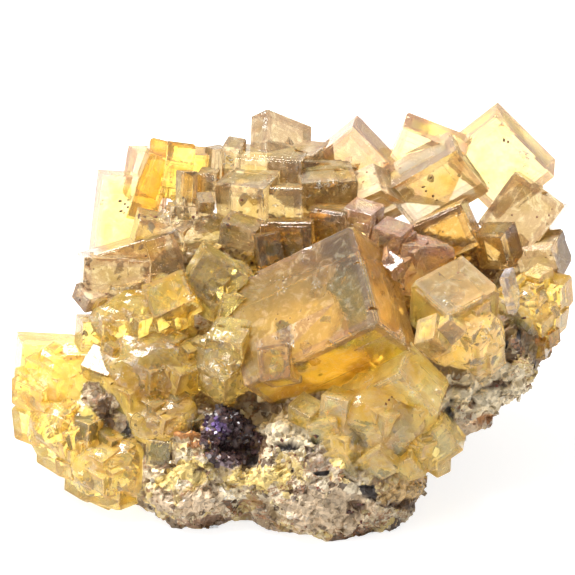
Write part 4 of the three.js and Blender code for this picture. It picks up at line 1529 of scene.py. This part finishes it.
def rough_grain(shape, place, normal, radius, chance, squash=0.45):
    """Adds one small rough lump to a bmesh, flattened along the surface normal."""
    start = len(shape.verts)
    bmesh.ops.create_icosphere(shape, subdivisions=2, radius=1)
    shape.verts.ensure_lookup_table()
    turn = normal.to_track_quat("Z", "Y").to_matrix()
    phase = Vector([10 * next(chance) for _ in range(3)])
    stretch = 0.7 + 0.6 * next(chance)
    for vertex in shape.verts[start:]:
        out = radius * (0.75 + 0.6 * noise.noise(vertex.co * 1.3 + phase))
        local = Vector((vertex.co.x * stretch, vertex.co.y / stretch, vertex.co.z * squash)) * out
        vertex.co = place + turn @ local


rock_tree = search_tree([Vector(p) for p in rock_points], rock.data)
SPECK_FIELDS = [
    (235, 205, 75, 40, 34), (440, 215, 110, 70, 26), (135, 280, 50, 25, 12), (300, 340, 70, 70, 16),
]
chance = chance_numbers(4242)
fine_specks = []
for x, y, half_width, half_height, count in SPECK_FIELDS:
    for _ in range(count):
        spot = (x + half_width * (2 * next(chance) - 1), y + half_height * (2 * next(chance) - 1))
        fine_specks.append((*spot, 0.9 + 1.2 * next(chance)))
speck_shape = bmesh.new()
for x, y, pixels in SPECKS + fine_specks:
    place, normal = seen_from_camera(x, y, [*stone_trees.values(), rock_tree])
    if place is not None:
        radius = pixels / PIXELS_PER_MM / 2
        rough_grain(speck_shape, place + normal * radius * 0.05, normal, radius, chance)
speck_mesh = bpy.data.meshes.new("ore_specks")
speck_shape.to_mesh(speck_mesh)
speck_shape.free()
speck_mesh.transform(Matrix.Scale(MM, 4))
specks = bpy.data.objects.new("ore_specks", speck_mesh)
scene.collection.objects.link(specks)
paint = Paint("ore")
mottled = paint.mix(paint.ramp(paint.noise(1.5, 3), 0.4, 0.6), (0.03, 0.012, 0.008), (0.16, 0.035, 0.015))
paint.surface(mottled, paint.ramp(paint.noise(3), 0.3, 0.7, 0.3, 0.6))
speck_mesh.materials.append(paint.material)
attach(specks, "root")
print("specks:", len(SPECKS) + len(fine_specks))

# %% [markdown]
# ## Splinters
# Where a crystal is bruised or cleaved, thin glassy splinters stand along the break and throw the light
# back. They are thin chips that lie nearly flat on the stone, crowded at the places where the
# photograph shows white breaks: middle and half-widths in pixels, how many, and how large, in mm. Their
# near-white colour is partly painted glint, standing in for the white flash of the breaks.

# %% Splinters
SPLINTER_PLACES = [
    (325, 184, 13, 4, 34, 0.6), (345, 187, 8, 3, 12, 0.5), (310, 196, 8, 4, 10, 0.5),
    (204, 175, 4, 3, 6, 0.4), (216, 180, 4, 2, 6, 0.4), (265, 152, 6, 3, 9, 0.4),
    (262, 220, 4, 2, 6, 0.4), (275, 205, 3, 3, 5, 0.4), (265, 122, 4, 13, 22, 0.6),
    (522, 157, 8, 9, 18, 0.6), (194, 252, 9, 3, 14, 0.7), (220, 335, 14, 8, 42, 0.8),
    (224, 370, 20, 24, 26, 0.7), (120, 376, 8, 4, 14, 0.5), (125, 290, 18, 4, 18, 0.7),
    (93, 318, 10, 3, 9, 0.6), (132, 344, 16, 4, 16, 0.7), (278, 285, 11, 12, 22, 0.3),
    (303, 255, 1.5, 9, 14, 0.22), (284, 290, 1.5, 5, 8, 0.22), (322, 282, 11, 15, 22, 0.3),
    (292, 345, 6, 5, 8, 0.5), (487, 334, 5, 6, 8, 0.5), (548, 293, 4, 6, 8, 0.6),
    (228, 160, 6, 9, 12, 0.7), (405, 385, 18, 14, 10, 0.5), (430, 400, 9, 13, 10, 0.5),
    (165, 375, 12, 10, 10, 0.5), (240, 200, 24, 20, 14, 0.4), (190, 300, 10, 20, 12, 0.6),
    (60, 400, 20, 20, 8, 0.4), (110, 480, 20, 20, 8, 0.4), (445, 300, 3, 12, 8, 0.5),
    (126, 430, 3, 7, 6, 0.5), (208, 414, 5, 11, 9, 1.1), (234, 496, 10, 6, 9, 1.2),
]
paint = Paint("splinter_with_painted_glint")
# Near-white colour, partly painted glint; the chips also reflect and let light through.
mottled = paint.mix(paint.noise(1.2, 3), (1.0, 0.97, 0.9), (0.95, 0.9, 0.76))
paint.surface(mottled, paint.ramp(paint.noise(2, 3), 0.3, 0.7, 0.08, 0.35))
paint.shader.inputs["Transmission Weight"].default_value = 0.55
paint.shader.inputs["IOR"].default_value = FLUORITE_IOR
places = []
for x, y, half_width, half_height, count, size in SPLINTER_PLACES:
    for _ in range(count):
        spot_x = x + half_width * (next(chance) + next(chance) - 1)
        spot_y = y + half_height * (next(chance) + next(chance) - 1)
        place, normal = seen_from_camera(spot_x, spot_y, [*stone_trees.values(), rock_tree])
        if place is None:
            continue
        lean = Vector([0.5 * (2 * next(chance) - 1) for _ in range(3)])
        turn = (normal + lean).to_track_quat("Z", "Y").to_matrix()
        spin = Matrix.Rotation(math.pi * next(chance), 3, "Z")
        length = size * (0.35 + 0.65 * next(chance))
        sizes = (length, length * (0.15 + 0.35 * next(chance)), 0.03 + 0.05 * next(chance))
        places.append((place, turn @ spin, sizes, (1, 1, 1)))
set_chips("splinters", CHIPS, places, paint.material)
print("splinters:", len(places))

# %% [markdown]
# ## Finish
# The workbench collection is removed.

# %% Finish
bpy.data.collections.remove(workbench)
